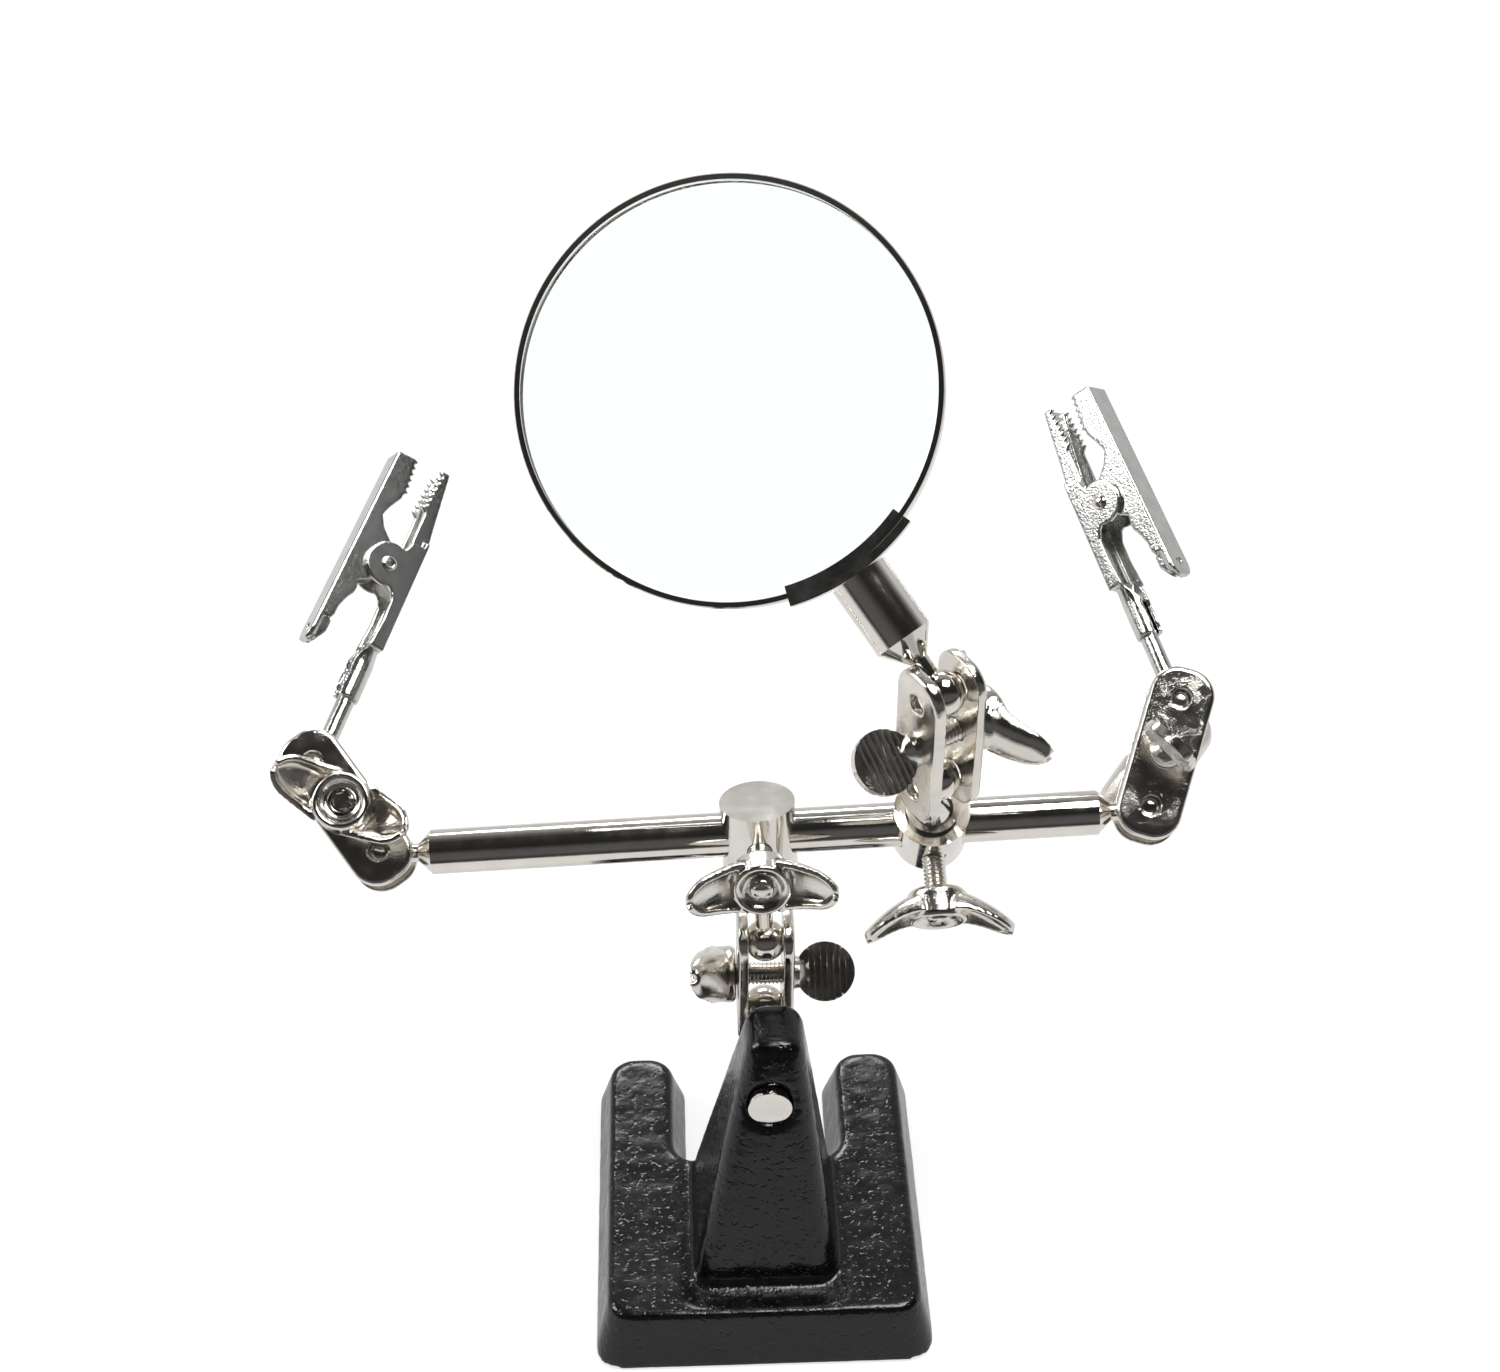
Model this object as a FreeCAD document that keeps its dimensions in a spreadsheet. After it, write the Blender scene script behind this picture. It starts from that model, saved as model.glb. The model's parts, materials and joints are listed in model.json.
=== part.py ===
import FreeCAD, Part
import math
import os
import Sketcher
from FreeCAD import Placement, Rotation, Vector

# Helping hands clamp: a cast iron foot carries a chain of ball joints, each gripped by two
# plates drawn together by a thumb screw and a wing nut, with a sliding crossbar, two alligator
# clips and a round magnifier. The origin is the middle of the foot's underside, X runs along
# the crossbar to the right, Y to the back, Z up.

doc = FreeCAD.newDocument("helping_hands_clamp")

# ---------------------------------------------------------------------------------- sizes
# how edges are told apart: the share of a straight run, of an upright one, and slack in mm
STRAIGHT_SHARE = 0.999
UPRIGHT_SHARE = 0.6
MEASURE_SLACK = 0.01
NOTHING = 1e-9

SIZES = {
    # cast foot: two low side blocks, a web in front and a tall drafted tower
    "foot_width": 60.0,
    "foot_depth": 65.0,
    "foot_height": 11.3,
    "foot_draft": 14.0,
    "foot_corner": 4.6,
    "leg_gap": 26.0,
    "web_depth": 40.0,
    "tower_height": 56.8,
    "tower_foot_width": 29.4,
    "tower_top_width": 9.2,
    "tower_foot_front": 26.4,
    "tower_foot_back": 7.0,
    "tower_top_front": 9.8,
    "tower_top_back": 1.6,
    "tower_lean": 2.6,
    "tower_round": 3.4,
    # round rods that end in balls
    "rod_dia": 7.5,
    "ball_dia": 7.3,
    "neck_dia": 3.1,
    "shoulder_to_ball": 8.6,
    "shoulder_cone": 2.2,
    "foot_rod_height": 45.5,
    "foot_rod_side": 1.4,
    "foot_rod_front": 13.3,
    "foot_rod_ball_back": 10.7,
    "press_clearance": 0.03,
    # plate clamps: two plates, a thumb screw and a wing nut
    "plate_pitch": 18.75,
    "plate_width": 10.8,
    "plate_thickness": 1.9,
    "plate_gap": 6.0,
    "plate_edge_round": 0.8,
    "plate_corner": 4.6,
    "ball_hole_dia": 3.3,
    "ball_seat_depth": 0.6,
    "screw_dia": 4.0,
    "screw_clearance": 0.12,
    "screw_run_out": 0.9,
    "paddle_dia": 9.6,
    "paddle_thickness": 1.9,
    "collar_dia": 6.4,
    "collar_tip_dia": 5.4,
    "collar_height": 1.1,
    "nut_hub_dia": 9.6,
    "nut_hub_height": 5.6,
    "nut_cup_dia": 6.6,
    "nut_cup_depth": 1.8,
    "wing_reach": 12.4,
    "wing_rise": 8.6,
    "wing_sheet": 2.0,
    "wing_width": 6.4,
    "wing_root": 1.2,
    "wing_foot": 0.6,
    "wing_bend_out": 8.2,
    "wing_bend_up": 4.7,
    "wing_bend_rise": 0.7,
    "wing_tip_round": 2.9,
    "nut_hub_round": 0.9,
    "nut_taper": 0.4,
    "nut_seat_gap": 0.1,
    # sliding blocks
    "block_dia": 12.6,
    "block_top": 6.2,
    "block_bottom": 6.4,
    "block_collar_dia": 8.8,
    "block_collar_height": 1.4,
    "block_cone_height": 3.6,
    "block_cone_dia": 6.8,
    "block_ball_drop": 22.0,
    "bar_clearance": 0.08,
    "set_screw_dia": 4.0,
    "set_screw_stand_off": 5.6,
    "set_screw_bite_gap": 0.1,
    # crossbar
    "bar_left": 54.6,
    "bar_right": 56.5,
    "lens_block_along": 28.7,
    # magnifier
    "lens_ring_dia": 66.4,
    "lens_ring_depth": 5.6,
    "lens_ring_wall": 0.7,
    "lens_ring_lip": 1.3,
    "lens_edge": 1.9,
    "lens_bulge": 2.0,
    "lens_crown_flat": 1.0,
    "lens_halfway_share": 0.75,
    "lens_clearance": 0.1,
    "holder_arc": 38.0,
    "holder_wall": 1.0,
    "holder_lip": 2.2,
    "ferrule_dia": 9.6,
    "ferrule_from": 10.2,
    "ferrule_length": 12.0,
    "ferrule_cone": 4.0,
    # alligator clips, measured along the clip from the ball in its stem
    "stem_dia": 3.1,
    "stem_to_crimp": 13.0,
    "crimp_length": 8.0,
    "crimp_dia": 4.8,
    "stem_in_crimp": 7.0,
    "clip_tip": 58.0,
    "teeth_start": 44.0,
    "clip_pivot_along": 37.1,
    "clip_pivot_up": 3.8,
    "clip_cheek": 4.0,
    "clip_handle_end": 20.4,
    "clip_handle_up": 15.2,
    "lever_end_depth": 2.0,
    "lever_tip_up": 5.9,
    "lever_notch_along": 30.6,
    "lever_notch_up": 8.4,
    "lever_belly": 1.8,
    "lever_window_along": 45.6,
    "lever_window_up": 6.2,
    "lever_teeth_start": 50.0,
    "teeth_gap": 0.4,
    "clip_sheet": 0.8,
    "clip_width": 7.0,
    "jaw_side_gap": 0.15,
    "jaw_tip_height": 1.3,
    "jaw_tip_foot": 0.4,
    "jaw_back": 1.6,
    "jaw_front_rise": 2.6,
    "jaw_tail_rise": 2.2,
    "jaw_overrun": 1.0,
    "crimp_rise": 0.3,
    "crimp_overlap": 1.2,
    "rivet_dia": 2.4,
    "rivet_head_dia": 3.6,
    "rivet_head_height": 0.6,
    "rivet_clearance": 0.06,
    "spring_coil_dia": 4.2,
    "clip_opening": 12.5,
    # the pose in which the ball joints are set
    "post_clamp_forward": 7.0,
    "post_block_back": 9.6,
    "bar_tilt": 2.6,
    "lens_block_forward": 29.0,
    "lens_clamp_azimuth": -171.7,
    "lens_clamp_elevation": 85.2,
    "lens_clamp_turn": 128.7,
    "magnifier_azimuth": -44.9,
    "magnifier_elevation": 38.0,
    "magnifier_turn": -38.9,
    "left_clamp_azimuth": -42.7,
    "left_clamp_elevation": 31.3,
    "left_clamp_turn": -24.1,
    "right_clamp_azimuth": 24.6,
    "right_clamp_elevation": 38.5,
    "right_clamp_turn": 11.0,
    "left_clip_azimuth": 23.3,
    "left_clip_elevation": 25.7,
    "left_clip_turn": -48.0,
    "right_clip_azimuth": -19.1,
    "right_clip_elevation": 27.4,
    "right_clip_turn": 31.6,
    # how far each screw and wing nut has been turned about its axis
    "post_paddle_turn": -53.0,
    "post_nut_turn": 40.0,
    "lens_paddle_turn": 52.0,
    "lens_nut_turn": -96.0,
    "left_paddle_turn": 20.0,
    "left_nut_turn": 27.0,
    "right_paddle_turn": 62.0,
    "right_nut_turn": -30.0,
}

sheet = doc.addObject("Spreadsheet::Sheet", "sizes")
for row, (name, amount) in enumerate(SIZES.items(), start=1):
    sheet.set("A%d" % row, name)
    sheet.set("B%d" % row, str(amount))
    sheet.setAlias("B%d" % row, name)
doc.recompute()


def spelled(formula):
    """A formula in the sheet's names, written the way an expression needs it."""
    words = []
    for word in formula.replace("(", "( ").replace(")", " )").split():
        words.append("sizes." + word if word in SIZES else word)
    return " ".join(words)


def amount(formula):
    return float(sheet.evalExpression(spelled(formula)))


def bind(thing, prop, formula):
    thing.setExpression(prop, spelled(formula))


# ---------------------------------------------------------------------------------- tools
def checked_volume(thing):
    doc.recompute()
    return thing.Shape.Volume


def start_body(name):
    body = doc.addObject("PartDesign::Body", name)
    body.Label = name
    return body


def sketch_on(body, plane, name, lift=None):
    sketch = body.newObject("Sketcher::SketchObject", name)
    origin_plane = [f for f in body.Origin.OriginFeatures if f.Role == plane][0]
    sketch.AttachmentSupport = [(origin_plane, "")]
    sketch.MapMode = "FlatFace"
    if lift:
        bind(sketch, "AttachmentOffset.Base.z", lift)
    return sketch


def pin_point(sketch, geometry, position, across, along):
    """Hold one point of a sketch at a place written in the sheet's names."""
    for kind, axis, formula in (("DistanceX", -2, across), ("DistanceY", -1, along)):
        if abs(amount(formula)) < NOTHING:
            sketch.addConstraint(Sketcher.Constraint("PointOnObject", geometry, position, axis))
            continue
        held = sketch.addConstraint(
            Sketcher.Constraint(kind, -1, 1, geometry, position, amount(formula))
        )
        bind(sketch, "Constraints[%d]" % held, formula)


def outline(sketch, corners):
    """A closed outline of straight edges through corners given as pairs of formulas."""
    places = [Vector(amount(x), amount(y), 0) for x, y in corners]
    first = sketch.GeometryCount
    count = len(places)
    for n in range(count):
        sketch.addGeometry(Part.LineSegment(places[n], places[(n + 1) % count]), False)
    for n in range(count):
        following = first + (n + 1) % count
        sketch.addConstraint(Sketcher.Constraint("Coincident", first + n, 2, following, 1))
    for n, (x, y) in enumerate(corners):
        pin_point(sketch, first + n, 1, x, y)


def circle(sketch, x, y, diameter):
    centre = Vector(amount(x), amount(y), 0)
    ring = sketch.addGeometry(Part.Circle(centre, Vector(0, 0, 1), amount(diameter) / 2), False)
    pin_point(sketch, ring, 3, x, y)
    held = sketch.addConstraint(Sketcher.Constraint("Diameter", ring, amount(diameter)))
    bind(sketch, "Constraints[%d]" % held, diameter)


def pad(body, sketch, length, middle=False, flip=False):
    feature = body.newObject("PartDesign::Pad", sketch.Name + "_pad")
    feature.Profile = sketch
    bind(feature, "Length", length)
    feature.Midplane = middle
    feature.Reversed = flip
    sketch.Visibility = False
    doc.recompute()
    return feature


def pocket(body, sketch, length, middle=False, flip=False):
    before = checked_volume(body)
    feature = body.newObject("PartDesign::Pocket", sketch.Name + "_pocket")
    feature.Profile = sketch
    bind(feature, "Length", length)
    feature.Midplane = middle
    feature.Reversed = flip
    if checked_volume(body) >= before:
        raise RuntimeError(sketch.Name + " cuts nothing")
    return feature


def revolve(body, sketch, kind="Revolution", angle="360", middle=False, axis="V_Axis"):
    feature = body.newObject("PartDesign::" + kind, sketch.Name + "_turned")
    feature.Profile = sketch
    feature.ReferenceAxis = (sketch, [axis])
    bind(feature, "Angle", angle)
    feature.Midplane = middle
    doc.recompute()
    return feature


def round_edges(body, base, radius, test, name):
    """Fillet the edges of a feature that pass a test."""
    chosen = [
        "Edge%d" % (n + 1) for n, edge in enumerate(base.Shape.Edges) if test(edge)
    ]
    feature = body.newObject("PartDesign::Fillet", name)
    feature.Base = (base, chosen)
    bind(feature, "Radius", radius)
    doc.recompute()
    return feature


def edge_run(edge):
    """The direction of a straight edge, or a zero vector for a curved one."""
    run = edge.Vertexes[-1].Point.sub(edge.Vertexes[0].Point)
    if run.Length < STRAIGHT_SHARE * edge.Length:
        return Vector(0, 0, 0)
    return run.normalize()


def cylinder(name, diameter, height, base=("0", "0", "0"), turn=None):
    """A cylinder that stands on base along Z, or along the axis that turn gives it."""
    thing = doc.addObject("Part::Cylinder", name)
    bind(thing, "Radius", "( %s ) / 2" % diameter)
    bind(thing, "Height", height)
    place(thing, base, turn)
    return thing


def place(thing, base, turn):
    if turn:
        thing.Placement = Placement(Vector(0, 0, 0), turn)
    for axis, formula in zip("xyz", base):
        bind(thing, "Placement.Base." + axis, formula)


def cone(name, low_diameter, high_diameter, height, base=("0", "0", "0"), turn=None):
    thing = doc.addObject("Part::Cone", name)
    bind(thing, "Radius1", "( %s ) / 2" % low_diameter)
    bind(thing, "Radius2", "( %s ) / 2" % high_diameter)
    bind(thing, "Height", height)
    place(thing, base, turn)
    return thing


def ball(name, diameter, base=("0", "0", "0")):
    thing = doc.addObject("Part::Sphere", name)
    bind(thing, "Radius", "( %s ) / 2" % diameter)
    place(thing, base, None)
    return thing


def joined(name, things):
    whole = doc.addObject("Part::MultiFuse", name)
    whole.Label = name
    whole.Shapes = things
    return whole


def cut(name, base, tools):
    """Base without tools: one cut of the fused tools."""
    tool = tools[0] if len(tools) == 1 else joined(name + "_tools", tools)
    rest = doc.addObject("Part::Cut", name)
    rest.Label = name
    rest.Base = base
    rest.Tool = tool
    return rest


ALONG_X = Rotation(Vector(0, 1, 0), 90)
AGAINST_X = Rotation(Vector(0, 1, 0), -90)
ALONG_Y = Rotation(Vector(1, 0, 0), -90)
AGAINST_Y = Rotation(Vector(1, 0, 0), 90)

nodes = []


def finish(node, placement):
    node.Placement = placement
    nodes.append(node)
    return node


# ---------------------------------------------------------------------------------- pose
def heading(azimuth, elevation):
    """A unit vector: azimuth turns from Y towards X, elevation rises towards Z."""
    turn = math.radians(azimuth)
    rise = math.radians(elevation)
    return Vector(
        math.cos(rise) * math.sin(turn), math.cos(rise) * math.cos(turn), math.sin(rise)
    )


def aimed(origin, azimuth, elevation, turn):
    """A frame whose X is the heading and whose Z is the upward normal turned about X."""
    along = heading(azimuth, elevation)
    up = Vector(0, 0, 1) - along * along.z
    up.normalize()
    side = along.cross(up)
    lift = up * math.cos(math.radians(turn)) + side * math.sin(math.radians(turn))
    return Placement(origin, Rotation(along, lift.cross(along), lift, "XZY"))


def shifted(frame, x=0.0, y=0.0, z=0.0):
    return frame.multiply(Placement(Vector(x, y, z), Rotation()))


def named_pose(name, origin):
    parts = (SIZES[name + "_azimuth"], SIZES[name + "_elevation"], SIZES[name + "_turn"])
    return aimed(origin, *parts)


foot_ball = Vector(
    SIZES["foot_rod_side"], SIZES["foot_rod_ball_back"], SIZES["foot_rod_height"]
)
post_clamp_frame = aimed(foot_ball, 180.0, 90.0 - SIZES["post_clamp_forward"], -90.0)
post_ball = shifted(post_clamp_frame, x=SIZES["plate_pitch"]).Base

# The post block stands on the upper ball, leaning back, and the bar through it climbs slightly.
bar_line = heading(90.0, SIZES["bar_tilt"])
lean = math.radians(SIZES["post_block_back"])
post_axis = Vector(0, math.sin(lean), math.cos(lean))
post_axis = (post_axis - bar_line * post_axis.dot(bar_line)).normalize()
bar_middle = post_ball + post_axis * SIZES["block_ball_drop"]
post_block_frame = Placement(
    bar_middle, Rotation(bar_line, post_axis.cross(bar_line), post_axis, "XZY")
)
bar_frame = post_block_frame

# The lens block hangs on the bar the other way up, its ball above the bar and towards the front.
nod = math.radians(SIZES["lens_block_forward"])
lens_axis = Vector(0, -math.sin(nod), math.cos(nod))
lens_axis = (lens_axis - bar_line * lens_axis.dot(bar_line)).normalize()
lens_block_middle = shifted(bar_frame, x=SIZES["lens_block_along"]).Base
lens_block_frame = Placement(
    lens_block_middle,
    Rotation(bar_line * -1, lens_axis.cross(bar_line), lens_axis * -1, "XZY"),
)
lens_lower_ball = lens_block_middle + lens_axis * SIZES["block_ball_drop"]
lens_clamp_frame = named_pose("lens_clamp", lens_lower_ball)
lens_upper_ball = shifted(lens_clamp_frame, x=SIZES["plate_pitch"]).Base
magnifier_frame = named_pose("magnifier", lens_upper_ball)

left_ball = shifted(bar_frame, x=-SIZES["bar_left"] - SIZES["shoulder_to_ball"]).Base
right_ball = shifted(bar_frame, x=SIZES["bar_right"] + SIZES["shoulder_to_ball"]).Base
left_clamp_frame = named_pose("left_clamp", left_ball)
right_clamp_frame = named_pose("right_clamp", right_ball)
left_clip_frame = named_pose("left_clip", shifted(left_clamp_frame, x=SIZES["plate_pitch"]).Base)
right_clip_frame = named_pose(
    "right_clip", shifted(right_clamp_frame, x=SIZES["plate_pitch"]).Base
)


# ---------------------------------------------------------------------------------- foot
def make_foot():
    """A heavy casting: a U of drafted blocks with a tower that is bored for the ball rod."""
    body = start_body("base_casting")
    plan = sketch_on(body, "XY_Plane", "foot_plan")
    side = "foot_width / 2"
    inside = "leg_gap / 2"
    front = "-1 * foot_depth / 2"
    back = "foot_depth / 2"
    crotch = "web_depth - foot_depth / 2"
    outline(
        plan,
        [
            ("-1 * " + side, front),
            (side, front),
            (side, back),
            (inside, back),
            (inside, crotch),
            ("-1 * " + inside, crotch),
            ("-1 * " + inside, back),
            ("-1 * " + side, back),
        ],
    )
    blocks = pad(body, plan, "foot_height")
    bind(blocks, "TaperAngle", "-1 * foot_draft")
    doc.recompute()
    if blocks.Shape.BoundBox.XLength > SIZES["foot_width"] + MEASURE_SLACK:
        bind(blocks, "TaperAngle", "foot_draft")
        doc.recompute()
    round_edges(
        body, blocks, "foot_corner", lambda edge: abs(edge_run(edge).z) > UPRIGHT_SHARE, "foot_corners"
    )

    low = sketch_on(body, "XY_Plane", "tower_foot")
    half = "tower_foot_width / 2"
    outline(
        low,
        [
            ("-1 * " + half, "-1 * tower_foot_front"),
            (half, "-1 * tower_foot_front"),
            (half, "tower_foot_back"),
            ("-1 * " + half, "tower_foot_back"),
        ],
    )
    high = sketch_on(body, "XY_Plane", "tower_top", "tower_height")
    left = "tower_lean - tower_top_width / 2"
    right = "tower_lean + tower_top_width / 2"
    outline(
        high,
        [
            (left, "-1 * tower_top_front"),
            (right, "-1 * tower_top_front"),
            (right, "tower_top_back"),
            (left, "tower_top_back"),
        ],
    )
    tower = body.newObject("PartDesign::AdditiveLoft", "tower")
    tower.Profile = low
    tower.Sections = [high]
    tower.Ruled = True
    doc.recompute()

    def tower_edge(edge):
        reaches_top = edge.BoundBox.ZMax > SIZES["tower_height"] - MEASURE_SLACK
        return reaches_top and edge_run(edge).Length > UPRIGHT_SHARE

    round_edges(body, tower, "tower_round", tower_edge, "tower_edges")
    bore = sketch_on(body, "XZ_Plane", "rod_bore")
    circle(bore, "foot_rod_side", "foot_rod_height", "rod_dia + 2 * press_clearance")
    pocket(body, bore, "foot_depth", middle=True)
    return finish(body, Placement())


# ---------------------------------------------------------------------------------- rods
def rod_end(name, shoulder, direction):
    """Cone, neck and ball at the end of a rod; shoulder is the cone's place along X."""
    sign = "" if direction > 0 else "-1 * "
    turn = ALONG_X if direction > 0 else AGAINST_X
    cone_part = cone(
        name + "_cone", "rod_dia", "neck_dia", "shoulder_cone", (shoulder, "0", "0"), turn
    )
    neck = cylinder(
        name + "_neck", "neck_dia", "shoulder_to_ball", (shoulder, "0", "0"), turn
    )
    tip = ball(
        name + "_ball", "ball_dia", (shoulder + " + " + sign + "shoulder_to_ball", "0", "0")
    )
    return [cone_part, neck, tip]


def make_foot_rod():
    """The rod pressed through the tower: its ball is at the frame's origin, its face in front."""
    length = "foot_rod_front + foot_rod_ball_back - shoulder_to_ball"
    shaft = cylinder(
        "foot_rod_shaft", "rod_dia", length, ("-1 * shoulder_to_ball - ( %s )" % length, "0", "0"),
        ALONG_X,
    )
    whole = joined("mounting_ball_rod", [shaft] + rod_end("foot_rod", "-1 * shoulder_to_ball", 1))
    return finish(whole, Placement(foot_ball, Rotation(Vector(0, 0, 1), 90)))


def make_crossbar():
    shaft = cylinder(
        "bar_shaft", "rod_dia", "bar_left + bar_right", ("-1 * bar_left", "0", "0"), ALONG_X
    )
    ends = rod_end("bar_left_end", "-1 * bar_left", -1) + rod_end("bar_right_end", "bar_right", 1)
    return finish(joined("crossbar", [shaft] + ends), bar_frame)


# ---------------------------------------------------------------------------------- clamps
def make_plate(name, frame, side):
    """A plate with rounded ends, two ball holes and a screw hole; side is its place on Z."""
    body = start_body(name)
    plan = sketch_on(body, "XY_Plane", name + "_plan")
    half = "plate_width / 2"
    outline(
        plan,
        [
            ("-1 * " + half, "-1 * " + half),
            ("plate_pitch + " + half, "-1 * " + half),
            ("plate_pitch + " + half, half),
            ("-1 * " + half, half),
        ],
    )
    slab = pad(body, plan, "plate_thickness")
    cornered = round_edges(
        body, slab, "plate_corner", lambda edge: abs(edge_run(edge).z) > UPRIGHT_SHARE, name + "_ends"
    )

    def outer_rim(edge):
        return edge.BoundBox.ZMin > SIZES["plate_thickness"] - MEASURE_SLACK

    round_edges(body, cornered, "plate_edge_round", outer_rim, name + "_edge")
    for label, along, diameter in (
        ("near", "0", "ball_hole_dia"),
        ("far", "plate_pitch", "ball_hole_dia"),
        ("screw", "plate_pitch / 2", "screw_dia + 2 * screw_clearance"),
    ):
        hole = sketch_on(body, "XY_Plane", name + "_" + label + "_hole")
        circle(hole, along, "0", diameter)
        pocket(body, hole, "3 * plate_thickness", middle=True)
    holed = body.Tip

    def seat_rim(edge):
        if edge.Curve.TypeId != "Part::GeomCircle" or edge.BoundBox.ZMax > MEASURE_SLACK:
            return False
        return abs(edge.Curve.Radius - SIZES["ball_hole_dia"] / 2) < MEASURE_SLACK

    chosen = ["Edge%d" % (n + 1) for n, edge in enumerate(holed.Shape.Edges) if seat_rim(edge)]
    seat = body.newObject("PartDesign::Chamfer", name + "_seats")
    seat.Base = (holed, chosen)
    bind(seat, "Size", "ball_seat_depth")
    doc.recompute()
    flip = Rotation() if side > 0 else Rotation(Vector(1, 0, 0), 180)
    offset = Placement(Vector(0, 0, side * SIZES["plate_gap"] / 2), flip)
    return finish(body, frame.multiply(offset))


def make_thumb_screw(name, frame, side, turn):
    """A screw with a round flat paddle; it comes through both plates from the side given."""
    reach = "plate_gap / 2 + plate_thickness"
    shank = cylinder(
        name + "_shank", "screw_dia",
        "2 * ( %s ) + nut_hub_height - nut_cup_depth + screw_run_out" % reach,
        ("0", "0", "-1 * ( %s )" % reach),
    )
    collar = cone(
        name + "_collar", "collar_tip_dia", "collar_dia", "collar_height",
        ("0", "0", "-1 * ( %s ) - collar_height - nut_seat_gap" % reach),
    )
    neck = cylinder(
        name + "_seat", "screw_dia", "nut_seat_gap",
        ("0", "0", "-1 * ( %s ) - nut_seat_gap" % reach),
    )
    paddle = cylinder(
        name + "_paddle", "paddle_dia", "paddle_thickness",
        ("0", "-1 * paddle_thickness / 2", "-1 * ( %s ) - collar_height - paddle_dia / 2" % reach),
        ALONG_Y,
    )
    whole = joined(name, [shank, neck, collar, paddle])
    flip = Rotation() if side > 0 else Rotation(Vector(1, 0, 0), 180)
    turned = Rotation(Vector(0, 0, 1), turn).multiply(flip)
    return finish(whole, frame.multiply(Placement(Vector(SIZES["plate_pitch"] / 2, 0, 0), turned)))


def wing_outline(sketch, sign):
    """One wing seen from the side: out from the hub's foot and up to a lifted tip."""
    mirror = "" if sign > 0 else "-1 * "
    steps = [
        ("nut_hub_dia / 2 - wing_root", "wing_foot"),
        ("wing_bend_out", "wing_foot"),
        ("wing_reach", "wing_bend_up"),
        ("wing_reach", "wing_rise"),
        ("wing_reach - wing_sheet", "wing_rise"),
        ("wing_reach - wing_sheet", "wing_bend_up + wing_bend_rise"),
        ("wing_bend_out - wing_bend_rise", "wing_foot + wing_sheet"),
        ("nut_hub_dia / 2 - wing_root", "wing_foot + wing_sheet"),
    ]
    outline(sketch, [(mirror + "( " + x + " )", z) for x, z in steps])


def make_winged(name, bore):
    """A cast hub with a cupped face and two wings: a nut if it has a bore, else a screw."""
    body = start_body(name)
    profile = sketch_on(body, "XZ_Plane", name + "_hub")
    inner = "screw_dia / 2 + screw_clearance" if bore else "0"
    outline(
        profile,
        [
            (inner, "0"),
            ("nut_hub_dia / 2 - nut_hub_round", "0"),
            ("nut_hub_dia / 2", "nut_hub_round"),
            ("nut_hub_dia / 2 - nut_taper", "nut_hub_height"),
            ("nut_cup_dia / 2", "nut_hub_height"),
            ("nut_cup_dia / 2 - nut_taper", "nut_hub_height - nut_cup_depth"),
            (inner, "nut_hub_height - nut_cup_depth"),
        ],
    )
    revolve(body, profile)
    wings = sketch_on(body, "XZ_Plane", name + "_wings")
    wing_outline(wings, 1)
    wing_outline(wings, -1)
    bent = pad(body, wings, "wing_width", middle=True)

    def tip_corner(edge):
        middle = edge.CenterOfMass
        along_hub = abs(edge_run(edge).x) > UPRIGHT_SHARE
        at_tip = middle.z > SIZES["wing_rise"] - MEASURE_SLACK
        return along_hub and at_tip

    round_edges(body, bent, "wing_tip_round", tip_corner, name + "_tips")
    if not bore:
        stub = sketch_on(body, "XY_Plane", name + "_shank")
        circle(stub, "0", "0", "set_screw_dia")
        pad(
            body, stub, "block_dia / 2 + set_screw_stand_off - rod_dia / 2 - set_screw_bite_gap",
            flip=True,
        )
    return body


def make_clamp(name, frame, screw_side, nut_name, paddle_turn, nut_turn):
    """The two plates, the thumb screw and the wing nut that grip a pair of balls."""
    make_plate(name + "_plate_a", frame, 1)
    make_plate(name + "_plate_b", frame, -1)
    make_thumb_screw(name + "_thumb_screw", frame, -screw_side, paddle_turn)
    nut = make_winged(nut_name, bore=True)
    lift = SIZES["plate_gap"] / 2 + SIZES["plate_thickness"] + SIZES["nut_seat_gap"]
    flip = Rotation() if screw_side < 0 else Rotation(Vector(1, 0, 0), 180)
    turned = Rotation(Vector(0, 0, 1), nut_turn).multiply(flip)
    offset = Placement(Vector(SIZES["plate_pitch"] / 2, 0, -screw_side * lift), turned)
    finish(nut, frame.multiply(offset))


# ---------------------------------------------------------------------------------- blocks
def make_block(name, frame):
    """A round block bored for the crossbar, with a neck and ball below and a tapped hole."""
    barrel = cylinder(
        name + "_barrel", "block_dia", "block_top + block_bottom", ("0", "0", "-1 * block_bottom")
    )
    collar = cylinder(
        name + "_collar", "block_collar_dia", "block_collar_height",
        ("0", "0", "-1 * block_bottom - block_collar_height"),
    )
    taper = cone(
        name + "_taper", "neck_dia", "block_cone_dia", "block_cone_height",
        ("0", "0", "-1 * block_bottom - block_collar_height - block_cone_height"),
    )
    neck = cylinder(
        name + "_neck", "neck_dia", "block_ball_drop - block_bottom",
        ("0", "0", "-1 * block_ball_drop"),
    )
    tip = ball(name + "_ball", "ball_dia", ("0", "0", "-1 * block_ball_drop"))
    solid = joined(name + "_solid", [barrel, collar, taper, neck, tip])
    bar_bore = cylinder(
        name + "_bar_bore", "rod_dia + 2 * bar_clearance", "2 * block_dia",
        ("-1 * block_dia", "0", "0"), ALONG_X,
    )
    tapped = cylinder(
        name + "_tapped_hole", "set_screw_dia + 2 * screw_clearance", "block_dia",
        ("0", "0", "0"), AGAINST_Y,
    )
    return finish(cut(name, solid, [bar_bore, tapped]), frame)


def make_set_screw(name, frame):
    """A wing screw through the front of a block, which stops just short of the bar."""
    screw = make_winged(name, bore=False)
    seat = SIZES["block_dia"] / 2 + SIZES["set_screw_stand_off"]
    outward = Placement(Vector(0, -seat, 0), AGAINST_Y)
    return finish(screw, frame.multiply(outward))


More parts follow.
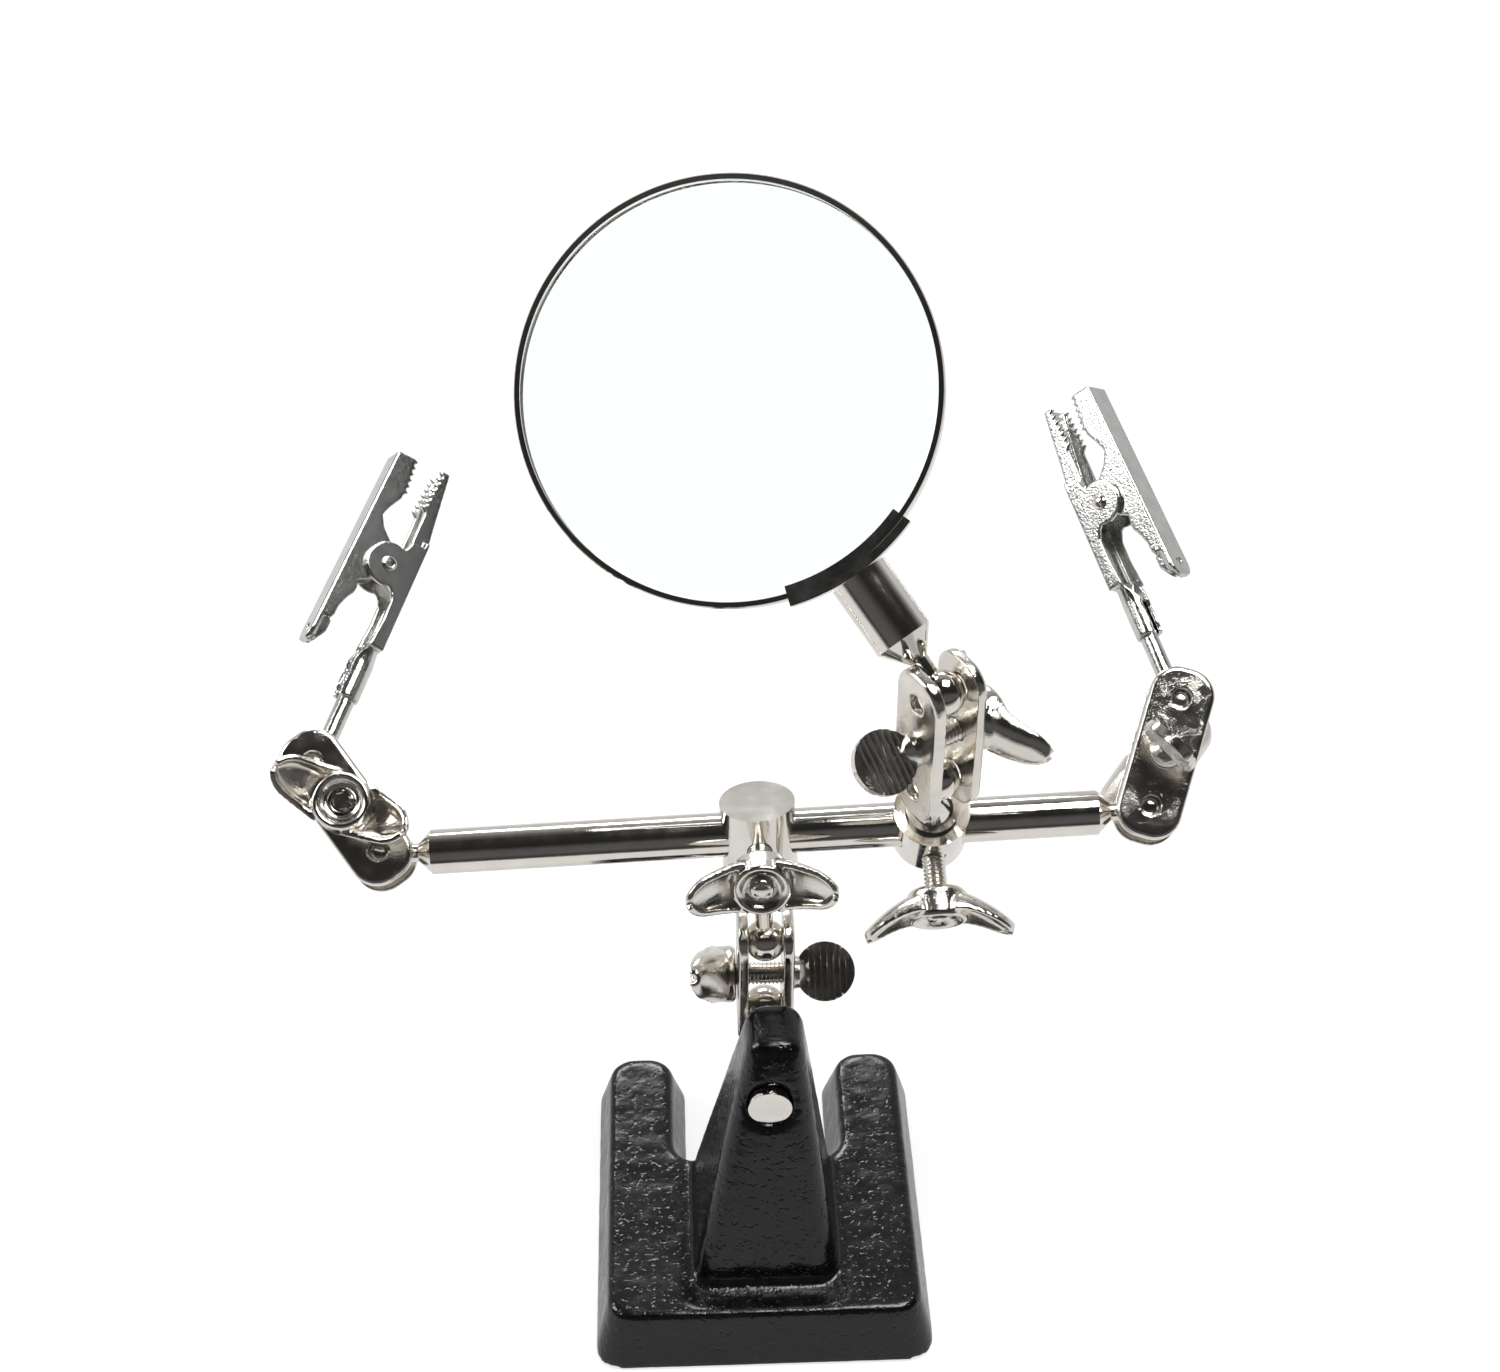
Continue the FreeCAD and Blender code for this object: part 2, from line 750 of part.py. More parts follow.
# ---------------------------------------------------------------------------------- magnifier
def make_magnifier(frame):
    """A split ring with rolled lips, the lens, the holder that hugs the ring and the ferrule."""
    ring_radius = "lens_ring_dia / 2"
    ferrule_end = SIZES["ferrule_from"] + SIZES["ferrule_length"]
    holder_back = SIZES["holder_wall"] + 2 * SIZES["press_clearance"]
    centre_along = ferrule_end + holder_back + SIZES["lens_ring_dia"] / 2
    ring_frame = shifted(frame, x=centre_along)

    ring = start_body("lens_ring")
    section = sketch_on(ring, "XZ_Plane", "ring_section")
    deep = "lens_ring_depth / 2"
    outline(
        section,
        [
            (ring_radius, "-1 * " + deep),
            (ring_radius, deep),
            (ring_radius + " - lens_ring_lip", deep),
            (ring_radius + " - lens_ring_lip", deep + " - lens_ring_wall"),
            (ring_radius + " - lens_ring_wall", deep + " - lens_ring_wall"),
            (ring_radius + " - lens_ring_wall", "lens_ring_wall - " + deep),
            (ring_radius + " - lens_ring_lip", "lens_ring_wall - " + deep),
            (ring_radius + " - lens_ring_lip", "-1 * " + deep),
        ],
    )
    revolve(ring, section)
    finish(ring, ring_frame)

    lens = start_body("magnifier_lens")
    profile = sketch_on(lens, "XZ_Plane", "lens_profile")
    edge_radius = amount(ring_radius + " - lens_ring_wall - lens_clearance")
    edge_half = SIZES["lens_edge"] / 2
    crown = edge_half + SIZES["lens_bulge"]
    flat = SIZES["lens_crown_flat"]
    halfway = (edge_radius + flat) / 2
    halfway_up = edge_half + SIZES["lens_bulge"] * SIZES["lens_halfway_share"]
    corners = [
        Vector(flat, crown, 0), Vector(0, crown, 0), Vector(0, -crown, 0),
        Vector(flat, -crown, 0),
    ]
    for here, there in zip(corners, corners[1:]):
        profile.addGeometry(Part.LineSegment(here, there), False)
    rim_low, rim_high = Vector(edge_radius, -edge_half, 0), Vector(edge_radius, edge_half, 0)
    profile.addGeometry(Part.Arc(corners[-1], Vector(halfway, -halfway_up, 0), rim_low), False)
    profile.addGeometry(Part.LineSegment(rim_low, rim_high), False)
    profile.addGeometry(Part.Arc(rim_high, Vector(halfway, halfway_up, 0), corners[0]), False)
    revolve(lens, profile)
    finish(lens, ring_frame)

    holder = start_body("lens_holder")
    channel = sketch_on(holder, "XZ_Plane", "holder_section")
    inner = "0 - lens_ring_dia / 2 - press_clearance"
    wide = "lens_ring_depth / 2 + press_clearance"
    outline(
        channel,
        [
            (inner + " - holder_wall", "-1 * ( %s ) - holder_wall" % wide),
            (inner + " - holder_wall", wide + " + holder_wall"),
            (inner + " + holder_lip", wide + " + holder_wall"),
            (inner + " + holder_lip", wide),
            (inner, wide),
            (inner, "-1 * ( %s )" % wide),
            (inner + " + holder_lip", "-1 * ( %s )" % wide),
            (inner + " + holder_lip", "-1 * ( %s ) - holder_wall" % wide),
        ],
    )
    revolve(holder, channel, angle="holder_arc", middle=True)
    finish(holder, ring_frame)

    barrel = cylinder(
        "ferrule_barrel", "ferrule_dia", "ferrule_length", ("ferrule_from", "0", "0"), ALONG_X
    )
    taper = cone(
        "ferrule_taper", "neck_dia", "ferrule_dia", "ferrule_cone",
        ("ferrule_from - ferrule_cone", "0", "0"), ALONG_X,
    )
    neck = cylinder("ferrule_neck", "neck_dia", "ferrule_from", ("0", "0", "0"), ALONG_X)
    tip = ball("ferrule_ball", "ball_dia")
    finish(joined("lens_ferrule", [barrel, taper, neck, tip]), frame)


# ---------------------------------------------------------------------------------- clips
def jaw_channel(body, label, sheet_outline, hollow_outline, width):
    """Bent sheet seen from the side: an outline of the given width, hollowed to a channel."""
    shape = sketch_on(body, "XZ_Plane", label + "_outline")
    outline(shape, sheet_outline)
    pad(body, shape, width, middle=True)
    hollow = sketch_on(body, "XZ_Plane", label + "_hollow")
    outline(hollow, hollow_outline)
    pocket(body, hollow, width + " - 2 * clip_sheet", middle=True)


def rivet_hole(body, label):
    hole = sketch_on(body, "XZ_Plane", label + "_rivet_hole")
    circle(hole, "clip_pivot_along", "clip_pivot_up", "rivet_dia + 2 * rivet_clearance")
    pocket(body, hole, "2 * clip_width", middle=True)


def make_fixed_jaw(name, frame):
    """The jaw whose tail is crimped round the stem, with a round cheek outside the other jaw."""
    body = start_body(name)
    start = "stem_to_crimp + crimp_length"
    inside = start + " - jaw_overrun"
    cheek_top = "clip_pivot_up + clip_cheek"
    floor = "clip_sheet - jaw_back"
    jaw_channel(
        body,
        name,
        [
            (start, "0 - jaw_back"),
            ("teeth_start", "0 - jaw_back"),
            ("clip_tip", "jaw_tip_foot"),
            ("clip_tip", "jaw_tip_foot + jaw_tip_height"),
            ("teeth_start", "jaw_front_rise"),
            ("clip_pivot_along + clip_cheek", "clip_pivot_up"),
            ("clip_pivot_along + clip_cheek / 2", cheek_top),
            ("clip_pivot_along - clip_cheek / 2", cheek_top),
            ("clip_pivot_along - clip_cheek", "clip_pivot_up"),
            (start, "jaw_tail_rise"),
        ],
        [
            (inside, floor),
            ("teeth_start", floor),
            ("clip_tip - clip_sheet", "jaw_tip_foot + clip_sheet"),
            ("clip_tip - clip_sheet", cheek_top + " + jaw_overrun"),
            (inside, cheek_top + " + jaw_overrun"),
        ],
        "clip_width",
    )
    rivet_hole(body, name)
    crimp = sketch_on(body, "YZ_Plane", name + "_crimp", "stem_to_crimp")
    circle(crimp, "0", "crimp_rise", "crimp_dia")
    circle(crimp, "0", "0", "stem_dia + 2 * press_clearance")
    pad(body, crimp, "crimp_length + crimp_overlap")
    return finish(body, frame)


def make_moving_jaw(name, frame):
    """The jaw with the finger lever, drawn closed and then turned open about the rivet."""
    body = start_body(name)
    width = "clip_width - 2 * clip_sheet - 2 * jaw_side_gap"
    belly = "clip_pivot_up - lever_belly"
    jaw_channel(
        body,
        name,
        [
            ("clip_tip", "jaw_tip_foot + jaw_tip_height + teeth_gap"),
            ("clip_tip", "lever_tip_up"),
            ("clip_handle_end", "clip_handle_up"),
            ("clip_handle_end", "clip_handle_up - lever_end_depth"),
            ("lever_notch_along", "lever_notch_up"),
            ("clip_pivot_along - clip_cheek", "lever_notch_up"),
            ("clip_pivot_along - lever_belly", belly),
            ("clip_pivot_along + lever_belly", belly),
            ("lever_window_along", "lever_window_up"),
            ("lever_teeth_start", "jaw_front_rise + teeth_gap"),
        ],
        [
            ("clip_tip - clip_sheet", "0"),
            ("clip_tip - clip_sheet", "lever_tip_up - clip_sheet"),
            ("clip_handle_end", "clip_handle_up - clip_sheet"),
            ("clip_handle_end", "0"),
        ],
        width,
    )
    rivet_hole(body, name)
    pivot = Vector(SIZES["clip_pivot_along"], 0, SIZES["clip_pivot_up"])
    opened = Placement(
        Vector(0, 0, 0), Rotation(Vector(0, 1, 0), -SIZES["clip_opening"]), pivot
    )
    return finish(body, frame.multiply(opened))


def make_clip(name, frame):
    shank = cylinder(
        name + "_stem_rod", "stem_dia", "stem_to_crimp + stem_in_crimp", ("0", "0", "0"), ALONG_X
    )
    finish(joined(name + "_ball_stem", [shank, ball(name + "_stem_ball", "ball_dia")]), frame)
    make_fixed_jaw(name + "_fixed_jaw", frame)
    make_moving_jaw(name + "_moving_jaw", frame)

    across = "clip_width / 2"
    pivot = ("clip_pivot_along", "-1 * ( clip_width / 2 )", "clip_pivot_up")
    pin = cylinder(name + "_rivet_pin", "rivet_dia", "clip_width", pivot, ALONG_Y)
    near_head = cylinder(
        name + "_rivet_near", "rivet_head_dia", "rivet_head_height",
        (pivot[0], "-1 * ( %s + rivet_head_height )" % across, pivot[2]), ALONG_Y,
    )
    far_head = cylinder(
        name + "_rivet_far", "rivet_head_dia", "rivet_head_height",
        (pivot[0], across, pivot[2]), ALONG_Y,
    )
    finish(joined(name + "_rivet", [pin, near_head, far_head]), frame)

    coil_length = "clip_width - 4 * clip_sheet - 4 * jaw_side_gap"
    base = (pivot[0], "-1 * ( %s ) / 2" % coil_length, pivot[2])
    coil = cylinder(name + "_coil", "spring_coil_dia", coil_length, base, ALONG_Y)
    hollow = cylinder(
        name + "_coil_hollow", "rivet_dia + 2 * rivet_clearance", coil_length, base, ALONG_Y
    )
    finish(cut(name + "_torsion_spring", coil, [hollow]), frame)


make_foot()
make_foot_rod()
make_clamp(
    "post_clamp", post_clamp_frame, 1, "post_clamp_wing_nut",
    SIZES["post_paddle_turn"], SIZES["post_nut_turn"],
)
make_block("post_block", post_block_frame)
make_set_screw("post_block_wing_screw", post_block_frame)
make_crossbar()
make_block("lens_block", lens_block_frame)
make_set_screw("lens_block_wing_screw", lens_block_frame)
make_clamp(
    "lens_clamp", lens_clamp_frame, 1, "lens_clamp_wing_nut",
    SIZES["lens_paddle_turn"], SIZES["lens_nut_turn"],
)
make_magnifier(magnifier_frame)
make_clamp(
    "left_clamp", left_clamp_frame, -1, "left_clamp_wing_nut",
    SIZES["left_paddle_turn"], SIZES["left_nut_turn"],
)
make_clamp(
    "right_clamp", right_clamp_frame, 1, "right_clamp_wing_nut",
    SIZES["right_paddle_turn"], SIZES["right_nut_turn"],
)
make_clip("left_clip", left_clip_frame)
make_clip("right_clip", right_clip_frame)
doc.recompute()

# ---------------------------------------------------------------------------------- export
for thing in doc.Objects:
    if "Invalid" in thing.State or "Error" in thing.State:
        raise RuntimeError(thing.Label + " did not compute")
for node in nodes:
    if node.Shape.isNull() or not node.Shape.isValid():
        raise RuntimeError(node.Label + " has no valid shape")

os.makedirs("parts", exist_ok=True)
for node in nodes:
    node.Shape.exportStep("parts/%s.step" % node.Label)
    print(node.Label, len(node.Shape.Solids), round(node.Shape.Volume, 1))
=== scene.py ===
import json
import math
import bpy
from mathutils import Matrix, Vector


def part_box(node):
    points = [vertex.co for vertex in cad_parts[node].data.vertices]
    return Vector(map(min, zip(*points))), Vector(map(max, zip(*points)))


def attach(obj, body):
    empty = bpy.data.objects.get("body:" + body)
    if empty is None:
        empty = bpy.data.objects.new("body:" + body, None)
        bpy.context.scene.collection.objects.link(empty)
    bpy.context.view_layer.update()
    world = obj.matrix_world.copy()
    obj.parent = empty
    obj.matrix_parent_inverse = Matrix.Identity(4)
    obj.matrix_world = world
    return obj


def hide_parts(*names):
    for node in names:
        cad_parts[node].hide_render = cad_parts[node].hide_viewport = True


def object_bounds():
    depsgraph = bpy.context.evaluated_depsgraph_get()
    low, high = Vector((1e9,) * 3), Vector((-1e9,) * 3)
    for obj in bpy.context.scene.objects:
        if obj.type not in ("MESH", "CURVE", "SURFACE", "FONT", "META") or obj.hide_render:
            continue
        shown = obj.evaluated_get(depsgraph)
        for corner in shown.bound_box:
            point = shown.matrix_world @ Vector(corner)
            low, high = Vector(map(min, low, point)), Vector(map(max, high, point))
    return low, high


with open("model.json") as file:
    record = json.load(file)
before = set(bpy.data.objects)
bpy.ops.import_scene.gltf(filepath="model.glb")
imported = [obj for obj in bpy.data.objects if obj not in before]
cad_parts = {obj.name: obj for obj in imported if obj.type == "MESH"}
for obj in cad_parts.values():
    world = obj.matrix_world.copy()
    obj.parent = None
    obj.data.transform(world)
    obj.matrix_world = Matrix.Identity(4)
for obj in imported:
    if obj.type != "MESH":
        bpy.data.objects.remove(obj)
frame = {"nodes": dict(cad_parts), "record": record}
cad_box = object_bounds()
nodes, record = frame["nodes"], frame["record"]
joints = {joint["name"]: joint for joint in record["behaviour"]["joints"]}
scene = bpy.context.scene

# Helping hands clamp: a cast foot, a ball-jointed crossbar, two alligator clips and a magnifier.


# ---------------------------------------------------------------------------------------------
# The foot. One heavy grey iron casting: a low plate with two legs at the back and a hollow-sided
# tower in the middle. It is dipped in thick glossy black enamel, which hangs in a coarse orange
# peel over the sand-cast skin and rounds every edge.
# ---------------------------------------------------------------------------------------------

def new_material(name):
    """An empty node material with a principled shader and object coordinates."""
    material = bpy.data.materials.new(name)
    material.use_nodes = True
    tree = material.node_tree
    tree.nodes.clear()
    out = tree.nodes.new("ShaderNodeOutputMaterial")
    shader = tree.nodes.new("ShaderNodeBsdfPrincipled")
    where = tree.nodes.new("ShaderNodeTexCoord")
    tree.links.new(shader.outputs["BSDF"], out.inputs["Surface"])
    return material, tree, shader, where.outputs["Object"]


def noise(tree, where, scale, detail):
    """A noise pattern at so many cells a metre."""
    node = tree.nodes.new("ShaderNodeTexNoise")
    node.inputs["Detail"].default_value = detail
    node.inputs["Roughness"].default_value = 0.55
    node.inputs["Scale"].default_value = scale
    tree.links.new(where, node.inputs["Vector"])
    return node.outputs["Fac"]


def ramp(tree, value, stops):
    """A colour ramp from (place, colour) stops; a single number makes a grey."""
    node = tree.nodes.new("ShaderNodeValToRGB")
    edges = node.color_ramp.elements
    while len(edges) < len(stops):
        edges.new(0.5)
    for edge, (place, tint) in zip(edges, stops):
        edge.position = place
        edge.color = (*tint, 1.0) if isinstance(tint, tuple) else (tint, tint, tint, 1.0)
    tree.links.new(value, node.inputs["Fac"])
    return node.outputs["Color"]


def bumps(tree, shader, layers):
    """Stacks bump layers of (height, depth in metres, strength) on the shader's normal."""
    normal = None
    for height, depth, strength in layers:
        node = tree.nodes.new("ShaderNodeBump")
        node.inputs["Distance"].default_value = depth
        node.inputs["Strength"].default_value = strength
        tree.links.new(height, node.inputs["Height"])
        if normal:
            tree.links.new(normal, node.inputs["Normal"])
        normal = node.outputs["Normal"]
    tree.links.new(normal, shader.inputs["Normal"])


def wear_material(material, piece_nodes):
    """Gives every slot of some CAD nodes one material."""
    for node in piece_nodes:
        mesh = nodes[node].data
        if not mesh.materials:
            mesh.materials.append(material)
        for slot_number in range(len(nodes[node].material_slots)):
            nodes[node].material_slots[slot_number].material = material


enamel, tree, shader, where = new_material("black_enamel_over_iron")
peel = noise(tree, where, 520, 2.0)
swell = noise(tree, where, 150, 3.0)
pits = ramp(tree, noise(tree, where, 900, 1.0), [(0.0, 0.0), (0.30, 0.0), (0.42, 1.0), (1.0, 1.0)])
shader.inputs["Specular IOR Level"].default_value = 0.42
tree.links.new(ramp(tree, peel, [(0.3, (0.0025, 0.0025, 0.003)), (0.75, (0.009, 0.009, 0.010))]),
               shader.inputs["Base Color"])
tree.links.new(ramp(tree, swell, [(0.3, 0.12), (0.7, 0.24)]), shader.inputs["Roughness"])
bumps(tree, shader, [(swell, 0.0005, 0.22), (peel, 0.00012, 0.35), (pits, 0.00016, 0.35)])


def only(piece):
    """Selects one object and nothing else."""
    bpy.ops.object.select_all(action="DESELECT")
    piece.select_set(True)
    bpy.context.view_layer.objects.active = piece
    return piece


def applied(piece, kind, **settings):
    """Adds a modifier, sets it and applies it."""
    only(piece)
    modifier = piece.modifiers.new(kind.lower(), kind)
    for name, value in settings.items():
        setattr(modifier, name, value)
    bpy.ops.object.modifier_apply(modifier=modifier.name)
    return piece


def copy_of(node, name):
    """A merged copy of a CAD node's skin, to be worked on as a piece of its own."""
    piece = bpy.data.objects.new(name, nodes[node].data.copy())
    scene.collection.objects.link(piece)
    piece.data.materials.clear()
    only(piece)
    bpy.ops.object.mode_set(mode="EDIT")
    bpy.ops.mesh.select_all(action="SELECT")
    bpy.ops.mesh.remove_doubles(threshold=0.000002)
    bpy.ops.object.mode_set(mode="OBJECT")
    return piece


def hung(piece, material, body, slot, *stands_for):
    """Shades a finished piece, gives it its finish and hangs it on its body."""
    piece.data.materials.clear()
    piece.data.materials.append(material)
    only(piece)
    bpy.ops.object.shade_smooth()
    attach(piece, body)
    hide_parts(*stands_for)


casting = copy_of("base_casting", "cast_foot")
low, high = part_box("base_casting")
plate_top, foot_voxel, lump_high = 0.0113, 0.00058, 0.00013
web_half, web_back, web_edge, web_deep = 0.0128, 0.0062, 0.0016, 0.0008
front_band, web_above, web_ease = 0.004, 0.0036, 0.0024
applied(casting, "REMESH", mode="VOXEL", voxel_size=foot_voxel)
for vertex in casting.data.vertices:
    place = vertex.co
    if plate_top - 0.0004 < place.z < plate_top + web_above and place.y > low[1] + front_band:
        beside = abs(place.x) - web_half
        if beside < web_edge and place.y < web_back:
            depth = min(1.0, max(0.0, (web_edge - beside) / web_ease))
            depth *= min(1.0, max(0.0, (place.y - low[1] - front_band) / 0.002))
            depth *= min(1.0, max(0.0, (plate_top + web_above - place.z) / web_above))
            place.z -= web_deep * depth * depth * (3 - 2 * depth)
lumps = bpy.data.textures.new("sand_cast_lumps", "CLOUDS")
lumps.noise_scale, lumps.noise_depth = 0.0030, 2
applied(casting, "SMOOTH", factor=0.6, iterations=16)
applied(casting, "DISPLACE", texture=lumps, texture_coords="LOCAL", strength=lump_high, mid_level=0.62)
hung(casting, enamel, "foot", "black_enamel", "base_casting")


# ---------------------------------------------------------------------------------------------
# Turned steel: the rod pressed through the tower, the crossbar, the two sliding blocks and the
# magnifier's ferrule. They are turned on a lathe, polished and nickel plated, so they carry faint
# rings and long black and white reflections.
# ---------------------------------------------------------------------------------------------

polished, tree, shader, where = new_material("polished_nickel_plate")
shader.inputs["Metallic"].default_value = 1.0
haze = noise(tree, where, 240, 4.0)
grain = noise(tree, where, 2600, 2.0)
tree.links.new(ramp(tree, haze, [(0.3, (0.78, 0.745, 0.69)), (0.7, (0.86, 0.83, 0.775))]),
               shader.inputs["Base Color"])
tree.links.new(ramp(tree, haze, [(0.35, 0.05), (0.75, 0.16)]), shader.inputs["Roughness"])
bumps(tree, shader, [(haze, 0.00012, 0.10), (grain, 0.00004, 0.14)])
wear_material(polished, ["mounting_ball_rod", "crossbar", "post_block", "lens_block",
                         "lens_ferrule"])


# ---------------------------------------------------------------------------------------------
# Clamp plates. Eight equal plates are blanked from 1.9 mm steel, and their edges and the rims of
# their three holes come out of the press rounded over; the ball of each rod looks out through the
# end holes. Bright nickel over a lightly grained skin.
# ---------------------------------------------------------------------------------------------

pebbled, tree, shader, where = new_material("pebbled_nickel_plate")
shader.inputs["Metallic"].default_value = 1.0
pebble = noise(tree, where, 4200, 2.0)
patch = noise(tree, where, 240, 3.0)
tree.links.new(ramp(tree, patch, [(0.25, (0.72, 0.685, 0.63)), (0.7, (0.84, 0.81, 0.755))]),
               shader.inputs["Base Color"])
tree.links.new(ramp(tree, patch, [(0.3, 0.09), (0.75, 0.20)]), shader.inputs["Roughness"])
coarse = tree.nodes.new("ShaderNodeMath")
coarse.operation = "MULTIPLY"
tree.links.new(ramp(tree, patch, [(0.36, 0.12), (0.62, 1.0)]), coarse.inputs[0])
tree.links.new(pebble, coarse.inputs[1])
bumps(tree, shader, [(patch, 0.00010, 0.10), (coarse.outputs[0], 0.00010, 0.50)])

plate_voxel = 0.00019
for side in ("post", "lens", "left", "right"):
    for letter in "ab":
        node = side + "_clamp_plate_" + letter
        plate = copy_of(node, side + "_rounded_plate_" + letter)
        applied(plate, "REMESH", mode="VOXEL", voxel_size=plate_voxel)
        applied(plate, "SMOOTH", factor=0.6, iterations=4)
        hung(plate, pebbled, side + "_clamp", "cast_nickel", node)


# ---------------------------------------------------------------------------------------------
# Thumb screws. An M4 screw is brazed into a small collar on a round flat paddle, whose two faces
# are milled with grooves for the thumb; the whole is nickel plated. The screw goes through both
# plates of a clamp, and its end is staked open so that the wing nut can't come off.
# ---------------------------------------------------------------------------------------------

def axes_of(joint, toward=None):
    """The place of a joint, its axis as Z, and X towards another point where one is given."""
    origin = Vector(joints[joint]["pos_m"])
    up = Vector(joints[joint]["axis"]).normalized()
    along = (Vector(toward) - origin) if toward else up.orthogonal()
    along = (along - up * along.dot(up)).normalized()
    across = up.cross(along)
    turn = Matrix((along, across, up)).transposed().to_4x4()
    return Matrix.Translation(origin) @ turn


def clamp_axes(side):
    """The middle of a clamp: Z across its plates, X along them."""
    grip = axes_of(side + "_clamp_tilt", joints[side + "_clamp_nut_turn"]["pos_m"])
    return Matrix.Translation(Vector(joints[side + "_clamp_nut_turn"]["pos_m"])) @ grip.to_3x3().to_4x4()


def lathe(name, profile, steps=48):
    """Spins a (radius, height) outline about Z, closes its seam and turns its faces outwards."""
    mesh = bpy.data.meshes.new(name)
    mesh.from_pydata([(r, 0, z) for r, z in profile], [(n, n + 1) for n in range(len(profile) - 1)], [])
    piece = bpy.data.objects.new(name, mesh)
    scene.collection.objects.link(piece)
    only(piece)
    bpy.ops.object.mode_set(mode="EDIT")
    bpy.ops.mesh.select_all(action="SELECT")
    bpy.ops.mesh.spin(steps=steps, angle=math.tau, center=(0, 0, 0), axis=(0, 0, 1))
    bpy.ops.mesh.select_all(action="SELECT")
    bpy.ops.mesh.remove_doubles(threshold=0.000001)
    bpy.ops.mesh.normals_make_consistent(inside=False)
    bpy.ops.object.mode_set(mode="OBJECT")
    return piece


def merged(name, parts):
    """Joins parts into one object."""
    bpy.ops.object.select_all(action="DESELECT")
    for part in parts:
        part.select_set(True)
    bpy.context.view_layer.objects.active = parts[0]
    bpy.ops.object.join()
    parts[0].name = name
    parts[0].data.name = name
    return parts[0]


def set_down(piece, where):
    """Puts a piece's mesh in its place, so that its object stays at the origin."""
    piece.data.transform(where)
    piece.matrix_world = Matrix.Identity(4)
    return piece


rows_a_turn, chamfer_deep, chamfer_long = 6, 0.00025, 0.0004


def threaded(name, low, high, radius, pitch=0.0007, depth=0.0004, staked=False):
    """A screw's shank from low to high along Z: a fine tube whose rows follow the thread."""
    rows = int((high - low) / pitch * rows_a_turn)
    bpy.ops.object.select_all(action="DESELECT")
    bpy.ops.mesh.primitive_grid_add(x_subdivisions=32, y_subdivisions=rows, size=1.0)
    shank = bpy.context.object
    shank.name = name
    for vertex in shank.data.vertices:
        turn = (vertex.co.x + 0.5) * math.tau
        up = low + (vertex.co.y + 0.5) * (high - low)
        phase = (up / pitch + turn / math.tau) % 1.0
        thread = depth * abs(2 * phase - 1)
        run_out = min(1.0, (high - up) / pitch)
        chamfer = chamfer_deep * max(0.0, 1 - (high - up) / chamfer_long)
        out = radius - thread * max(0.0, run_out) - chamfer
        vertex.co = (out * math.cos(turn), out * math.sin(turn), up)
    only(shank)
    bpy.ops.object.mode_set(mode="EDIT")
    bpy.ops.mesh.select_all(action="SELECT")
    bpy.ops.mesh.remove_doubles(threshold=0.000002)
    bpy.ops.mesh.select_all(action="DESELECT")
    bpy.ops.mesh.select_non_manifold()
    bpy.ops.mesh.fill_holes(sides=0)
    bpy.ops.mesh.select_all(action="SELECT")
    bpy.ops.mesh.normals_make_consistent(inside=False)
    bpy.ops.object.mode_set(mode="OBJECT")
    if staked:
        end = lathe(name + "_end", [(0, high - 0.0009), (0.0006, high - 0.0006),
                                    (0.0014, high + 0.00018), (0.0019, high - 0.0003),
                                    (0.0019, high - 0.0012)], 24)
        for vertex in end.data.vertices:
            turn = math.atan2(vertex.co.y, vertex.co.x)
            if vertex.co.z > high - 0.0004:
                vertex.co.z -= 0.0004 * max(0.0, math.cos(4 * turn))
        shank = merged(name, [shank, end])
    return shank


screw_radius, plates_half = 0.0020, 0.0049
paddle_radius, paddle_thick, collar_high = 0.0052, 0.0016, 0.0011
groove_pitch, groove_side, grooves = 0.00108, 0.00060, 7
collar_radius, paddle_bite, screw_past_nut = 0.0029, 0.0004, 0.0047


def thumb_screw(name, side, facing, turn):
    """facing is +1 where the paddle lies on the +Z side of the clamp."""
    shank = threaded(name, -plates_half, plates_half + screw_past_nut, screw_radius, staked=True)
    collar = lathe(name + "_collar", [
        (0, -plates_half), (0.0027, -plates_half), (collar_radius, -plates_half - 0.0003),
        (0.0028, -plates_half - collar_high), (0.0020, -plates_half - 0.0019),
        (0.0010, -plates_half - 0.0027), (0, -plates_half - 0.0028)])
    middle = -plates_half - paddle_bite - paddle_radius
    bpy.ops.object.select_all(action="DESELECT")
    bpy.ops.mesh.primitive_cylinder_add(
        vertices=64, radius=paddle_radius, depth=paddle_thick,
        location=(0, 0, middle), rotation=(math.pi / 2, 0, 0))
    paddle = bpy.context.object
    bpy.ops.object.transform_apply(location=True, rotation=True, scale=True)
    for face in (-1, 1):
        for step in range(grooves):
            high = middle + (step - (grooves - 1) / 2) * groove_pitch
            bpy.ops.mesh.primitive_cube_add(
                size=groove_side, location=(0, face * paddle_thick / 2, high),
                rotation=(math.pi / 4, 0, 0), scale=(20, 1, 1))
            cutter = bpy.context.object
            applied(paddle, "BOOLEAN", object=cutter, operation="DIFFERENCE", solver="EXACT")
            bpy.data.objects.remove(cutter)
    applied(paddle, "BEVEL", width=0.00011, segments=2, limit_method="ANGLE", angle_limit=0.5)
    screw = merged(name, [shank, collar, paddle])
    flip = Matrix.Rotation(math.pi, 4, "X") if facing > 0 else Matrix.Identity(4)
    set_down(screw, clamp_axes(side) @ Matrix.Rotation(math.radians(turn), 4, "Z") @ flip)
    hung(screw, pebbled, side + "_clamp", "cast_nickel", side + "_clamp_thumb_screw")
    bpy.ops.object.shade_smooth_by_angle(angle=0.6)


for side, facing, turn in (("post", 1, -53), ("lens", 1, 52), ("left", -1, 20), ("right", 1, 62)):
    thumb_screw(side + "_grooved_thumb_screw", side, facing, turn)


# ---------------------------------------------------------------------------------------------
# Wing nuts and wing screws. Each is one pressure casting in nickel-plated zinc: a round hub with
# a cup in its outer face and two leaf-shaped wings that rise from its foot and are hollowed on
# the side that the fingers push. The two screws carry an M4 shank into their block.
# ---------------------------------------------------------------------------------------------

